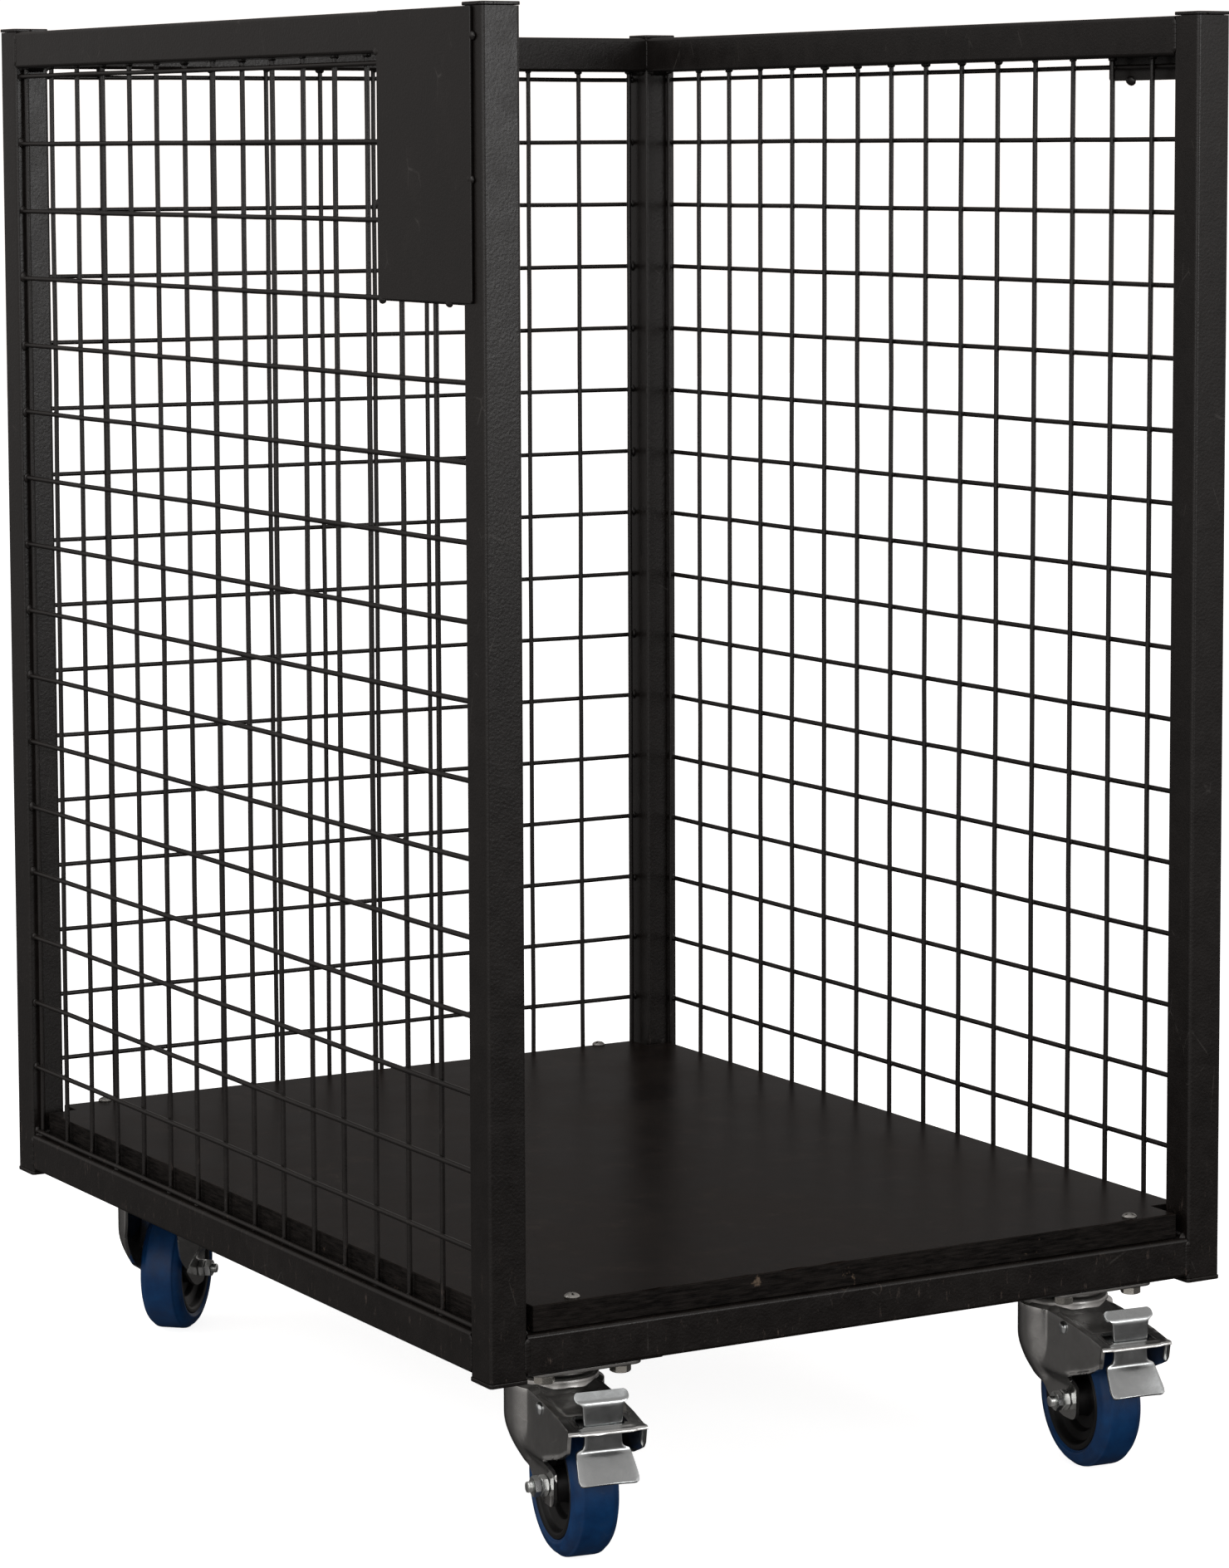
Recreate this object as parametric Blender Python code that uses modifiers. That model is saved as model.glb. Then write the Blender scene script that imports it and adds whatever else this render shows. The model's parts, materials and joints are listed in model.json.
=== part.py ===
"""Pipe and drape cart: a welded square tube frame with wire mesh walls and a plywood floor, on four swivel castors."""

import math

import bmesh
import bpy
from mathutils import Matrix, Vector

# Fits
gap = 0.0003
running_gap = 0.0005

# Frame, outside sizes
frame_width = 0.610
frame_depth = 0.805
tube_size = 0.0285
tube_wall = 0.0016
tube_corner = 0.0025
post_length = 0.919
post_drop = 0.0015
cap_thickness = 0.0025
foot_thickness = 0.003
plate_overhang = 0.0006

# Wire mesh walls
wire_diameter = 0.0035
mesh_pitch_across = 0.0493
mesh_pitch_up = 0.0532
mesh_inset = 0.0064

# Blank plates on the side walls
name_plate_width = 0.134
name_plate_height = 0.195
tag_plate_height = 0.045
name_plate_thickness = 0.002
name_plate_from_front = 0.013

# Floor board and its screws
board_thickness = 0.018
board_front_setback = 0.005
board_wall_clearance = 0.002
board_post_clearance = 0.007
screw_from_side = 0.071
screw_shank = 0.0045
screw_head = 0.011
screw_head_height = 0.0028
screw_length = 0.024

# Castor plates and bolts
corner_plate_thickness = 0.004
corner_plate_setback = 0.014
corner_plate_margin = 0.012
castor_plate_width = 0.085
castor_plate_length = 0.105
castor_plate_thickness = 0.003
castor_plate_corner = 0.008
bolt_spacing_across = 0.060
bolt_spacing_along = 0.080
bolt_size = 0.008
bolt_across_flats = 0.013
bolt_head_height = 0.0053
castor_from_side = 0.088
castor_from_front = 0.070
castor_from_back = 0.085

# Swivel
race_radius = 0.029
race_height = 0.0095
ring_radius = 0.0315
ring_height = 0.006
kingpin_radius = 0.006
kingpin_head_radius = 0.010
kingpin_head_height = 0.004

# Fork and wheel
crown_clearance = 0.0145
fork_wall = 0.0025
fork_shoulder_width = 0.070
fork_hood_width = 0.055
trail = 0.038
wheel_diameter = 0.100
tyre_width = 0.0345
rim_diameter = 0.075
hub_clearance = 0.0008
hub_radius = 0.012
web_thickness = 0.008
axle_size = 0.008
axle_across_flats = 0.013
axle_nut_height = 0.0053
axle_head_height = 0.0053
axle_tip = 0.004

# Brake pedal
pedal_sheet = 0.0025
pedal_neck_width = 0.029
pedal_tab_width = 0.038
pedal_foot_width = 0.043
pivot_size = 0.005
slot_clearance = 0.0035

wheel_sides = 24
round_sides = 12

# Widths that follow the tyre's
hub_width = tyre_width - 0.0015
rim_flange_width = tyre_width - 0.002

# Heights, from the ground up
wheel_radius = wheel_diameter / 2
fork_crown_height = wheel_diameter + crown_clearance
race_base = fork_crown_height + ring_height + running_gap
castor_plate_base = race_base + race_height
castor_height = castor_plate_base + castor_plate_thickness
corner_plate_base = castor_height + gap
rail_base = corner_plate_base + corner_plate_thickness + gap
post_base = rail_base - post_drop
post_top = post_base + post_length
lower_rail_top = rail_base + tube_size
upper_rail_base = post_top - tube_size
board_base = lower_rail_top + gap
board_top = board_base + board_thickness


def clear_scene():
    for obj in list(bpy.data.objects):
        bpy.data.objects.remove(obj, do_unlink=True)


def new_collection(name, hidden=False):
    collection = bpy.data.collections.new(name)
    bpy.context.scene.collection.children.link(collection)
    collection.hide_render = hidden
    return collection


def material(name, colour, roughness, metallic):
    """A plain Principled material with the part's own colour."""
    made = bpy.data.materials.new(name)
    made.use_nodes = True
    shader = made.node_tree.nodes["Principled BSDF"]
    shader.inputs["Base Color"].default_value = (*colour, 1.0)
    shader.inputs["Roughness"].default_value = roughness
    shader.inputs["Metallic"].default_value = metallic
    made.diffuse_color = (*colour, 1.0)
    return made


clear_scene()
cart = new_collection("pipe_and_drape_cart")
cutters = new_collection("cutters", hidden=True)

powder_coat = material("black_powder_coat", (0.032, 0.030, 0.030), 0.55, 0.2)
wire_coat = material("mesh_black_coat", (0.035, 0.033, 0.033), 0.5, 0.2)
plywood = material("black_faced_plywood", (0.045, 0.037, 0.033), 0.45, 0.0)
blank_plate = material("dark_sheet_plate", (0.030, 0.029, 0.029), 0.4, 0.3)
screw_steel = material("screw_steel", (0.62, 0.61, 0.59), 0.3, 1.0)
zinc_plate = material("zinc_plated_plate", (0.60, 0.60, 0.59), 0.35, 1.0)
zinc_fork = material("zinc_plated_fork", (0.63, 0.63, 0.62), 0.32, 1.0)
zinc_brake = material("zinc_plated_brake", (0.68, 0.68, 0.67), 0.28, 1.0)
axle_steel = material("axle_steel", (0.66, 0.66, 0.65), 0.25, 1.0)
nylon = material("black_nylon", (0.018, 0.018, 0.018), 0.5, 0.0)
blue_rubber = material("blue_rubber", (0.075, 0.145, 0.300), 0.55, 0.0)


def place(obj, collection, parent=None):
    collection.objects.link(obj)
    obj.parent = parent
    return obj


def object_from(bm, name, finish, parent=None, smooth=False):
    """Turns a bmesh into a named part in the cart's collection."""
    mesh = bpy.data.meshes.new(name)
    bm.to_mesh(mesh)
    bm.free()
    mesh.materials.append(finish)
    if smooth:
        mesh.shade_smooth()
        mesh.set_sharp_from_angle(angle=math.radians(35))
    return place(bpy.data.objects.new(name, mesh), cart, parent)


def cutter_from(bm, name, parent=None):
    mesh = bpy.data.meshes.new(name)
    bm.to_mesh(mesh)
    bm.free()
    cutter = place(bpy.data.objects.new(name, mesh), cutters, parent)
    cutter.hide_render = True
    cutter.display_type = "WIRE"
    return cutter


def empty(name, location, turn=0.0, parent=None):
    """A holder on a joint's axis, turned about Z."""
    holder = place(bpy.data.objects.new(name, None), cart, parent)
    holder.location = location
    holder.rotation_euler = (0.0, 0.0, turn)
    return holder


def box(bm, low, high):
    """Adds a cuboid between two corners and returns its points."""
    made = bmesh.ops.create_cube(bm, size=1.0)["verts"]
    middle = (Vector(low) + Vector(high)) / 2
    span = Vector(high) - Vector(low)
    bmesh.ops.scale(bm, vec=span, verts=made)
    bmesh.ops.translate(bm, vec=middle, verts=made)
    return made


def rod(bm, radius, start, end, sides=round_sides, turn=0.0):
    """Adds a round or hexagonal bar between two points."""
    start, end = Vector(start), Vector(end)
    along = end - start
    spin = Matrix.Rotation(turn, 4, "Z")
    aim = along.to_track_quat("Z", "Y").to_matrix().to_4x4()
    where = Matrix.Translation((start + end) / 2) @ aim @ spin
    return bmesh.ops.create_cone(
        bm, cap_ends=True, segments=sides, radius1=radius, radius2=radius, depth=along.length, matrix=where
    )["verts"]


def hex_radius(across_flats):
    return across_flats / 2 / math.cos(math.pi / 6)


def join(target, tool, operation):
    change = target.modifiers.new(operation.lower() + "_" + tool.name, "BOOLEAN")
    change.operation = operation
    change.object = tool
    change.solver = "EXACT"


def unite(bms, name, finish, parent=None, smooth=False):
    """Joins overlapping solids into one body: the first one is the part and the others are united with it."""
    part = object_from(bms[0], name, finish, parent, smooth)
    for number, bm in enumerate(bms[1:]):
        join(part, cutter_from(bm, f"{name}_add_{number}", parent), "UNION")
    return part


def square_tube(name, length, location, axis, finish=powder_coat):
    """A length of square tube: an open sleeve with rounded corners, given its wall inwards. Starts at location."""
    bm = bmesh.new()
    box(bm, (0.0, 0.0, 0.0), (tube_size, tube_size, length))
    ends = [face for face in bm.faces if abs(face.normal.z) > 0.5]
    bmesh.ops.delete(bm, geom=ends, context="FACES_ONLY")
    corners = [edge for edge in bm.edges if abs(edge.verts[0].co.z - edge.verts[1].co.z) > length / 2]
    bmesh.ops.bevel(
        bm, geom=corners, offset=tube_corner, offset_type="OFFSET", segments=2, profile=0.5,
        affect="EDGES", material=-1,
    )
    turns = {"X": Matrix(((0, 0, 1), (1, 0, 0), (0, 1, 0))), "Y": Matrix(((0, 1, 0), (0, 0, 1), (1, 0, 0)))}
    if axis in turns:
        bmesh.ops.transform(bm, matrix=turns[axis].to_4x4(), verts=bm.verts)
    tube = object_from(bm, name, finish, root)
    tube.location = location
    wall = tube.modifiers.new("wall", "SOLIDIFY")
    wall.thickness = tube_wall
    wall.offset = -1.0
    wall.use_even_offset = True
    return tube


def rounded_plate(bm, low, high, corner, segments=2):
    """Adds a flat plate whose upright edges are rounded."""
    made = box(bm, low, high)
    span = set(made)
    upright = [
        edge for edge in bm.edges
        if set(edge.verts) <= span and abs(edge.verts[0].co.z - edge.verts[1].co.z) > abs(high[2] - low[2]) / 2
    ]
    bmesh.ops.bevel(
        bm, geom=upright, offset=corner, offset_type="OFFSET", segments=segments, profile=0.5,
        affect="EDGES", material=-1,
    )


root = empty("cart_origin", (0.0, 0.0, 0.0))


def corner_places():
    """The lower outer corner of each post, seen from above, with its name."""
    back = frame_depth - tube_size
    right = frame_width - tube_size
    return {"front_left": (0.0, 0.0), "front_right": (right, 0.0), "back_right": (right, back), "back_left": (0.0, back)}


def build_posts():
    """Upright tubes, each with its welded cap and foot plate."""
    for where, (x, y) in corner_places().items():
        square_tube("post_" + where, post_length, (x, y, post_base), "Z")
        for name, base, thickness in (
            ("post_cap_", post_top + gap, cap_thickness),
            ("post_foot_", post_base - gap - foot_thickness, foot_thickness),
        ):
            bm = bmesh.new()
            rounded_plate(
                bm,
                (x - plate_overhang, y - plate_overhang, base),
                (x + tube_size + plate_overhang, y + tube_size + plate_overhang, base + thickness),
                tube_corner,
            )
            object_from(bm, name + where, powder_coat, root)


def build_rails():
    """Rails between the posts. The front has only its bottom rail."""
    start = tube_size + gap
    across = frame_width - 2 * start
    along = frame_depth - 2 * start
    right = frame_width - tube_size
    back = frame_depth - tube_size
    rails = {}
    for level, z in (("bottom", rail_base), ("top", upper_rail_base)):
        rails[level + "_left"] = square_tube(f"{level}_rail_left", along, (0.0, start, z), "Y")
        rails[level + "_right"] = square_tube(f"{level}_rail_right", along, (right, start, z), "Y")
        rails[level + "_back"] = square_tube(f"{level}_rail_back", across, (start, back, z), "X")
    rails["bottom_front"] = square_tube("bottom_rail_front", across, (start, 0.0, rail_base), "X")
    return rails


def wire_places(opening, pitch, first_share):
    """Centres of the wires across an opening: whole cells of one pitch, and what is left shared between the ends."""
    cells = int((opening - 2 * wire_diameter) / pitch)
    first = wire_diameter * 0.6 + (opening - cells * pitch - wire_diameter * 1.2) * first_share
    return [first + number * pitch for number in range(cells + 1)]


def mesh_wall(name, opening_width, matrix):
    """A welded wire mesh, made flat in X (across), Y (up) and Z (out), then stood up by the matrix.

    The level wires are ridges on the outer side, and the upright wires are ridges on the inner side.
    They share the plane between them, where each crossing is one square of weld.
    """
    half = wire_diameter / 2
    opening_height = upper_rail_base - lower_rail_top
    uprights = wire_places(opening_width, mesh_pitch_across, 0.5)
    levels = wire_places(opening_height, mesh_pitch_up, 0.1)
    bm = bmesh.new()

    def row(fixed, centres, ends, swap):
        """The points where one edge of a wire meets the edges of the wires that cross it, from end to end."""
        stops = [ends[0]] + [centre + side for centre in centres for side in (-half, half)] + [ends[1]]
        made = []
        for stop in stops:
            spot = (fixed, stop) if swap else (stop, fixed)
            key = (round(spot[0], 6), round(spot[1], 6))
            if key not in points:
                points[key] = bm.verts.new((spot[0], spot[1], 0.0))
            made.append(points[key])
        return made

    def wires(centres, crossing, ends, swap, ridge):
        """One layer of wires: each is a ridge over two rows of points, and flat between its crossings."""
        for centre in centres:
            low = row(centre - half, crossing, ends, swap)
            high = row(centre + half, crossing, ends, swap)
            tips = [
                bm.verts.new((centre, end, ridge) if swap else (end, centre, ridge)) for end in ends
            ]
            bm.faces.new(low + tips[::-1])
            bm.faces.new(high + tips[::-1])
            bm.faces.new((low[0], high[0], tips[0]))
            bm.faces.new((low[-1], high[-1], tips[1]))
            for first in range(0, len(low), 2):
                bm.faces.new((low[first], low[first + 1], high[first + 1], high[first]))

    points = {}
    wires(levels, uprights, (gap, opening_width - gap), False, wire_diameter)
    wires(uprights, levels, (gap, opening_height - gap), True, -wire_diameter)
    bmesh.ops.recalc_face_normals(bm, faces=bm.faces)
    bmesh.ops.transform(bm, matrix=matrix, verts=bm.verts)
    bmesh.ops.recalc_face_normals(bm, faces=bm.faces)
    return object_from(bm, name, wire_coat, root)


def build_mesh_walls():
    """Three walls of mesh, each welded inside its own frame of posts and rails."""
    side_opening = frame_depth - 2 * tube_size
    back_opening = frame_width - 2 * tube_size
    z = lower_rail_top
    left = Matrix(((0, 0, -1, mesh_inset), (1, 0, 0, tube_size), (0, 1, 0, z), (0, 0, 0, 1)))
    right = Matrix(((0, 0, 1, frame_width - mesh_inset), (1, 0, 0, tube_size), (0, 1, 0, z), (0, 0, 0, 1)))
    back = Matrix(((1, 0, 0, tube_size), (0, 0, 1, frame_depth - mesh_inset), (0, 1, 0, z), (0, 0, 0, 1)))
    mesh_wall("mesh_left", side_opening, left)
    mesh_wall("mesh_right", side_opening, right)
    mesh_wall("mesh_back", back_opening, back)


def build_blank_plates():
    """A tall blank plate on the left wall and a low one on the right, flush with the top rails."""
    near = name_plate_from_front
    far = near + name_plate_width
    for name, height, low, high in (
        ("name_plate_left", name_plate_height, -gap - name_plate_thickness, -gap),
        ("tag_plate_right", tag_plate_height, frame_width + gap, frame_width + gap + name_plate_thickness),
    ):
        bm = bmesh.new()
        box(bm, (low, near, post_top - height), (high, far, post_top))
        object_from(bm, name, blank_plate, root)


def build_floor(rails):
    """The plywood board, notched round the posts, and the four screws that hold it to the front and back rails."""
    inside = mesh_inset + wire_diameter + board_wall_clearance
    notch = tube_size + board_post_clearance
    low = (inside, board_front_setback)
    high = (frame_width - inside, frame_depth - inside)
    outline = [
        (notch, low[1]), (frame_width - notch, low[1]), (frame_width - notch, notch), (high[0], notch),
        (high[0], frame_depth - notch), (frame_width - notch, frame_depth - notch),
        (frame_width - notch, high[1]), (notch, high[1]), (notch, frame_depth - notch),
        (low[0], frame_depth - notch), (low[0], notch), (notch, notch),
    ]
    bm = bmesh.new()
    sheet = bm.faces.new([bm.verts.new((x, y, board_base)) for x, y in outline])
    raised = bmesh.ops.extrude_face_region(bm, geom=[sheet])["geom"]
    lifted = [item for item in raised if isinstance(item, bmesh.types.BMVert)]
    bmesh.ops.translate(bm, vec=(0.0, 0.0, board_thickness), verts=lifted)
    bmesh.ops.recalc_face_normals(bm, faces=bm.faces)
    board = object_from(bm, "floor_board", plywood, root)

    middle = tube_size / 2
    tip = board_top + gap - screw_length
    for where, x, y, rail in (
        ("front_left", screw_from_side, middle, "bottom_front"),
        ("front_right", frame_width - screw_from_side, middle, "bottom_front"),
        ("back_left", screw_from_side, frame_depth - middle, "bottom_back"),
        ("back_right", frame_width - screw_from_side, frame_depth - middle, "bottom_back"),
    ):
        bm = bmesh.new()
        rod(bm, screw_shank / 2 + gap, (x, y, tip - 0.002), (x, y, board_top + 0.002), 8)
        hole = cutter_from(bm, "screw_hole_" + where, root)
        join(board, hole, "DIFFERENCE")
        join(rails[rail], hole, "DIFFERENCE")
        turned_part(
            "floor_screw_" + where,
            [
                (0.0, board_top + gap + screw_head_height),
                (screw_head * 0.32, board_top + gap + screw_head_height),
                (screw_head / 2, board_top + gap + screw_head_height * 0.45),
                (screw_head / 2, board_top + gap),
                (screw_shank / 2, board_top + gap),
                (screw_shank / 2, tip),
                (0.0, tip),
            ],
            8, screw_steel, root, (x, y, 0.0),
        )


def turned_part(name, profile, sides, finish, parent, location=(0.0, 0.0, 0.0), turn=None, closed=False):
    """A part turned about Z from a profile of (radius, height) that runs down its outer side."""
    bm = bmesh.new()
    chain = [bm.verts.new((radius, 0.0, height)) for radius, height in profile]
    pairs = list(zip(chain, chain[1:]))
    if closed:
        pairs.append((chain[-1], chain[0]))
    for first, second in pairs:
        bm.edges.new((first, second))
    part = object_from(bm, name, finish, parent)
    part.location = location
    if turn:
        part.rotation_euler = turn
    screw = part.modifiers.new("turn", "SCREW")
    screw.steps = sides
    screw.render_steps = sides
    screw.use_merge_vertices = True
    screw.merge_threshold = 0.00001
    screw.use_smooth_shade = True
    return part


def castor_places():
    """Swivel axis of each castor, the way its wheel trails, and whether it has a brake."""
    right = frame_width - castor_from_side
    back = frame_depth - castor_from_back
    return {
        "front_left": (castor_from_side, castor_from_front, -99, True),
        "front_right": (right, castor_from_front, -96, True),
        "back_right": (right, back, 62, False),
        "back_left": (castor_from_side, back, 47, False),
    }


def bolt_offsets():
    across, along = bolt_spacing_across / 2, bolt_spacing_along / 2
    return [(-across, -along), (across, -along), (across, along), (-across, along)]


def build_corner_plate(where, x, y):
    """The steel plate welded under two rails in a corner, notched round the post's foot, with the bolt holes."""
    clear = tube_size + plate_overhang + 4 * gap
    reach = castor_plate_width / 2 + corner_plate_margin, castor_plate_length / 2 + corner_plate_margin
    left, front = x < frame_width / 2, y < frame_depth / 2
    far_x, far_y = x + reach[0] if left else x - reach[0], y + reach[1] if front else y - reach[1]
    near_x = corner_plate_setback if left else frame_width - corner_plate_setback
    near_y = corner_plate_setback if front else frame_depth - corner_plate_setback
    notch_x = clear if left else frame_width - clear
    notch_y = clear if front else frame_depth - clear
    outline = [(notch_x, near_y), (far_x, near_y), (far_x, far_y), (near_x, far_y), (near_x, notch_y), (notch_x, notch_y)]
    bm = bmesh.new()
    sheet = bm.faces.new([bm.verts.new((px, py, corner_plate_base)) for px, py in outline])
    raised = bmesh.ops.extrude_face_region(bm, geom=[sheet])["geom"]
    lifted = [item for item in raised if isinstance(item, bmesh.types.BMVert)]
    bmesh.ops.translate(bm, vec=(0.0, 0.0, corner_plate_thickness), verts=lifted)
    bmesh.ops.recalc_face_normals(bm, faces=bm.faces)
    plate = object_from(bm, "corner_plate_" + where, powder_coat, root)
    holes = bmesh.new()
    for dx, dy in bolt_offsets():
        rod(
            holes, bolt_size / 2 + gap, (x + dx, y + dy, corner_plate_base - 0.002),
            (x + dx, y + dy, corner_plate_base + corner_plate_thickness + 0.002), 8,
        )
    join(plate, cutter_from(holes, "bolt_holes_" + where, root), "DIFFERENCE")


def build_castor_plate(where, x, y):
    """The castor's top plate with its upper race, kingpin and bolts, which stay still on the cart."""
    half_width, half_length = castor_plate_width / 2, castor_plate_length / 2
    plate = bmesh.new()
    rounded_plate(
        plate, (x - half_width, y - half_length, castor_plate_base), (x + half_width, y + half_length, castor_height),
        castor_plate_corner,
    )
    race = bmesh.new()
    rod(race, race_radius, (x, y, race_base), (x, y, castor_plate_base + 0.001), 16)
    pin = bmesh.new()
    crown_under = fork_crown_height - fork_wall
    rod(pin, kingpin_radius, (x, y, crown_under - running_gap - kingpin_head_height), (x, y, castor_plate_base + 0.001), 8)
    head = bmesh.new()
    head_top = crown_under - running_gap
    rod(head, kingpin_head_radius, (x, y, head_top - kingpin_head_height), (x, y, head_top))
    shanks, heads = bmesh.new(), bmesh.new()
    tip = corner_plate_base + corner_plate_thickness - 2 * gap
    for dx, dy in bolt_offsets():
        spot = Vector((x + dx, y + dy, 0.0))
        rod(
            shanks, bolt_size / 2, spot + Vector((0, 0, castor_plate_base + 0.001)),
            spot + Vector((0, 0, tip)), 8,
        )
        rod(
            heads, hex_radius(bolt_across_flats), spot + Vector((0, 0, castor_plate_base - bolt_head_height)),
            spot + Vector((0, 0, castor_plate_base + 0.001)), 6,
        )
    unite([plate, race, pin, head, shanks, heads], "castor_plate_" + where, zinc_plate, root)


def smooth_step(value):
    value = min(max(value, 0.0), 1.0)
    return value * value * (3.0 - 2.0 * value)


def fork_outline(braked):
    """Side view of the pressed fork, with X ahead of the swivel axis and Z above the ground: its top edge from the
    leading side to the trailing side, and then the rest. All but the crown and the axle is in wheel radii."""
    unit = wheel_radius
    axle = Vector((trail, unit))
    crown = Vector((0.0, fork_crown_height))
    flat = 1.3 * kingpin_head_radius
    top = [crown + Vector((-0.56, -0.06)) * unit, crown + Vector((-flat, 0.0)), crown + Vector((flat, 0.0))]
    lobe = [
        axle + Vector((0.274, 0.28)) * unit, axle + Vector((0.274, -0.18)) * unit, axle + Vector((0.18, -0.27)) * unit,
        axle + Vector((-0.12, -0.27)) * unit, axle + Vector((-0.354, -0.19)) * unit,
    ]
    leading = [
        Vector((0.0, 1.14)) * unit, Vector((-0.18, 1.22)) * unit, Vector((-0.36, 1.37)) * unit,
        Vector((-0.48, 1.57)) * unit, Vector((-0.55, 1.84)) * unit,
    ]
    if braked:
        top += [crown + Vector((1.20, -0.07)) * unit, axle + Vector((1.32, 1.08)) * unit]
        trailing = [
            axle + Vector((1.26, 0.77)) * unit, axle + Vector((0.95, 0.63)) * unit, axle + Vector((0.30, 0.44)) * unit,
            axle + Vector((0.24, 0.36)) * unit,
        ]
    else:
        top += [axle + Vector((-0.08, 1.20)) * unit]
        trailing = [axle + Vector((0.12, 0.90)) * unit, axle + Vector((0.22, 0.60)) * unit]
    return top, trailing + lobe + leading


def fork_side():
    """Half the fork's outside width beside the wheel's hub."""
    return hub_width / 2 + hub_clearance + fork_wall


def bend_heights():
    """Levels at which the fork's side is bent, from where the legs end to where the shoulder is upright."""
    return [wheel_radius * share for share in (1.09, 1.18, 1.29, 1.45, 1.64, 1.84)]


def shoulder_radius(z):
    """Radius of the round shoulder about the swivel, which draws in like a bowl to the width of the legs."""
    low, high = bend_heights()[0], bend_heights()[-1]
    share = min(max((z - low) / (high - low), 0.0), 1.0)
    return fork_side() + (fork_shoulder_width / 2 - fork_side()) * math.sin(share * math.pi / 2)


def fork_half_width(x, z):
    """Half the fork's outside width: the round shoulder, or the flat hood where that is wider."""
    shoulder = math.sqrt(max(shoulder_radius(z) ** 2 - x ** 2, 0.0))
    if x < 0.0:
        return shoulder
    low, high = bend_heights()[1], bend_heights()[3]
    hood = fork_side() + (fork_hood_width / 2 - fork_side()) * smooth_step((z - low) / (high - low))
    return max(shoulder, hood)


def fork_shell(braked):
    """Half of the pressed fork: a flat side is cut into bands, bent to its width, and its top edge is drawn in."""
    bm = bmesh.new()
    top, rest = fork_outline(braked)
    corners = [bm.verts.new((point.x, 0.0, point.y)) for point in top + rest]
    bm.faces.new(corners)
    for number in range(len(top) - 1):
        bm.edges.get(corners[number:number + 2]).seam = True
    for height in bend_heights():
        cut_plane(bm, (0.0, 0.0, height), (0.0, 0.0, 1.0))
    crease = math.sqrt(fork_shoulder_width ** 2 - fork_hood_width ** 2) / 2
    for ahead in (-0.40 * wheel_radius, -0.20 * wheel_radius, 0.0, 0.22 * wheel_radius, crease):
        cut_plane(bm, (ahead, 0.0, 0.0), (1.0, 0.0, 0.0))
    for vert in bm.verts:
        vert.co.y = -fork_half_width(vert.co.x, vert.co.z)
    drawn = bmesh.ops.extrude_edge_only(bm, edges=[edge for edge in bm.edges if edge.seam])["geom"]
    for item in drawn:
        if isinstance(item, bmesh.types.BMVert):
            item.co.y = 0.0
    bmesh.ops.recalc_face_normals(bm, faces=bm.faces)
    return bm


def cut_plane(bm, point, normal):
    bmesh.ops.bisect_plane(
        bm, geom=bm.verts[:] + bm.edges[:] + bm.faces[:], dist=0.00001, plane_co=point, plane_no=normal,
    )


def build_fork(where, holder, braked):
    """The pressed steel fork with its lower race ring, swivelling under the castor plate."""
    bm = fork_shell(braked)
    fork = object_from(bm, "fork_" + where, zinc_fork, holder)
    mirror = fork.modifiers.new("other_half", "MIRROR")
    mirror.use_axis = (False, True, False)
    mirror.merge_threshold = 0.0001
    wall = fork.modifiers.new("sheet", "SOLIDIFY")
    wall.thickness = fork_wall
    wall.offset = -1.0
    wall.use_even_offset = True

    ring = bmesh.new()
    rod(ring, ring_radius, (0, 0, fork_crown_height - fork_wall * 1.2), (0, 0, fork_crown_height + ring_height), 16)
    join(fork, cutter_from(ring, "ring_" + where, holder), "UNION")

    pin_hole = bmesh.new()
    rod(
        pin_hole, kingpin_radius + running_gap, (0, 0, fork_crown_height - 3 * fork_wall),
        (0, 0, fork_crown_height + 2 * ring_height),
    )
    join(fork, cutter_from(pin_hole, "kingpin_hole_" + where, holder), "DIFFERENCE")

    axle_hole = bmesh.new()
    reach = fork_shoulder_width
    rod(axle_hole, axle_size / 2 + gap, (trail, -reach, wheel_radius), (trail, reach, wheel_radius), 8)
    join(fork, cutter_from(axle_hole, "axle_hole_" + where, holder), "DIFFERENCE")
    return fork


def build_axle(where, holder):
    """The axle bolt: its head on one side of the fork, and a washer and two nuts on the other."""
    outside = fork_side() + gap
    axle = Vector((trail, 0.0, wheel_radius))

    def stretch(low, high):
        return axle + Vector((0, low, 0)), axle + Vector((0, high, 0))

    nuts_end = outside + 2 * axle_nut_height
    shaft, head, inner, outer = bmesh.new(), bmesh.new(), bmesh.new(), bmesh.new()
    rod(shaft, axle_size / 2, *stretch(-nuts_end - axle_tip, outside + axle_head_height / 2), 8)
    rod(head, hex_radius(axle_across_flats), *stretch(outside, outside + axle_head_height), 6)
    rod(inner, hex_radius(axle_across_flats), *stretch(-outside - axle_nut_height, -outside), 6)
    rod(outer, hex_radius(axle_across_flats) * 0.99, *stretch(-nuts_end, -outside - axle_nut_height * 0.98), 6, 0.2)
    unite([shaft, head, inner, outer], "axle_bolt_" + where, axle_steel, holder)


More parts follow.
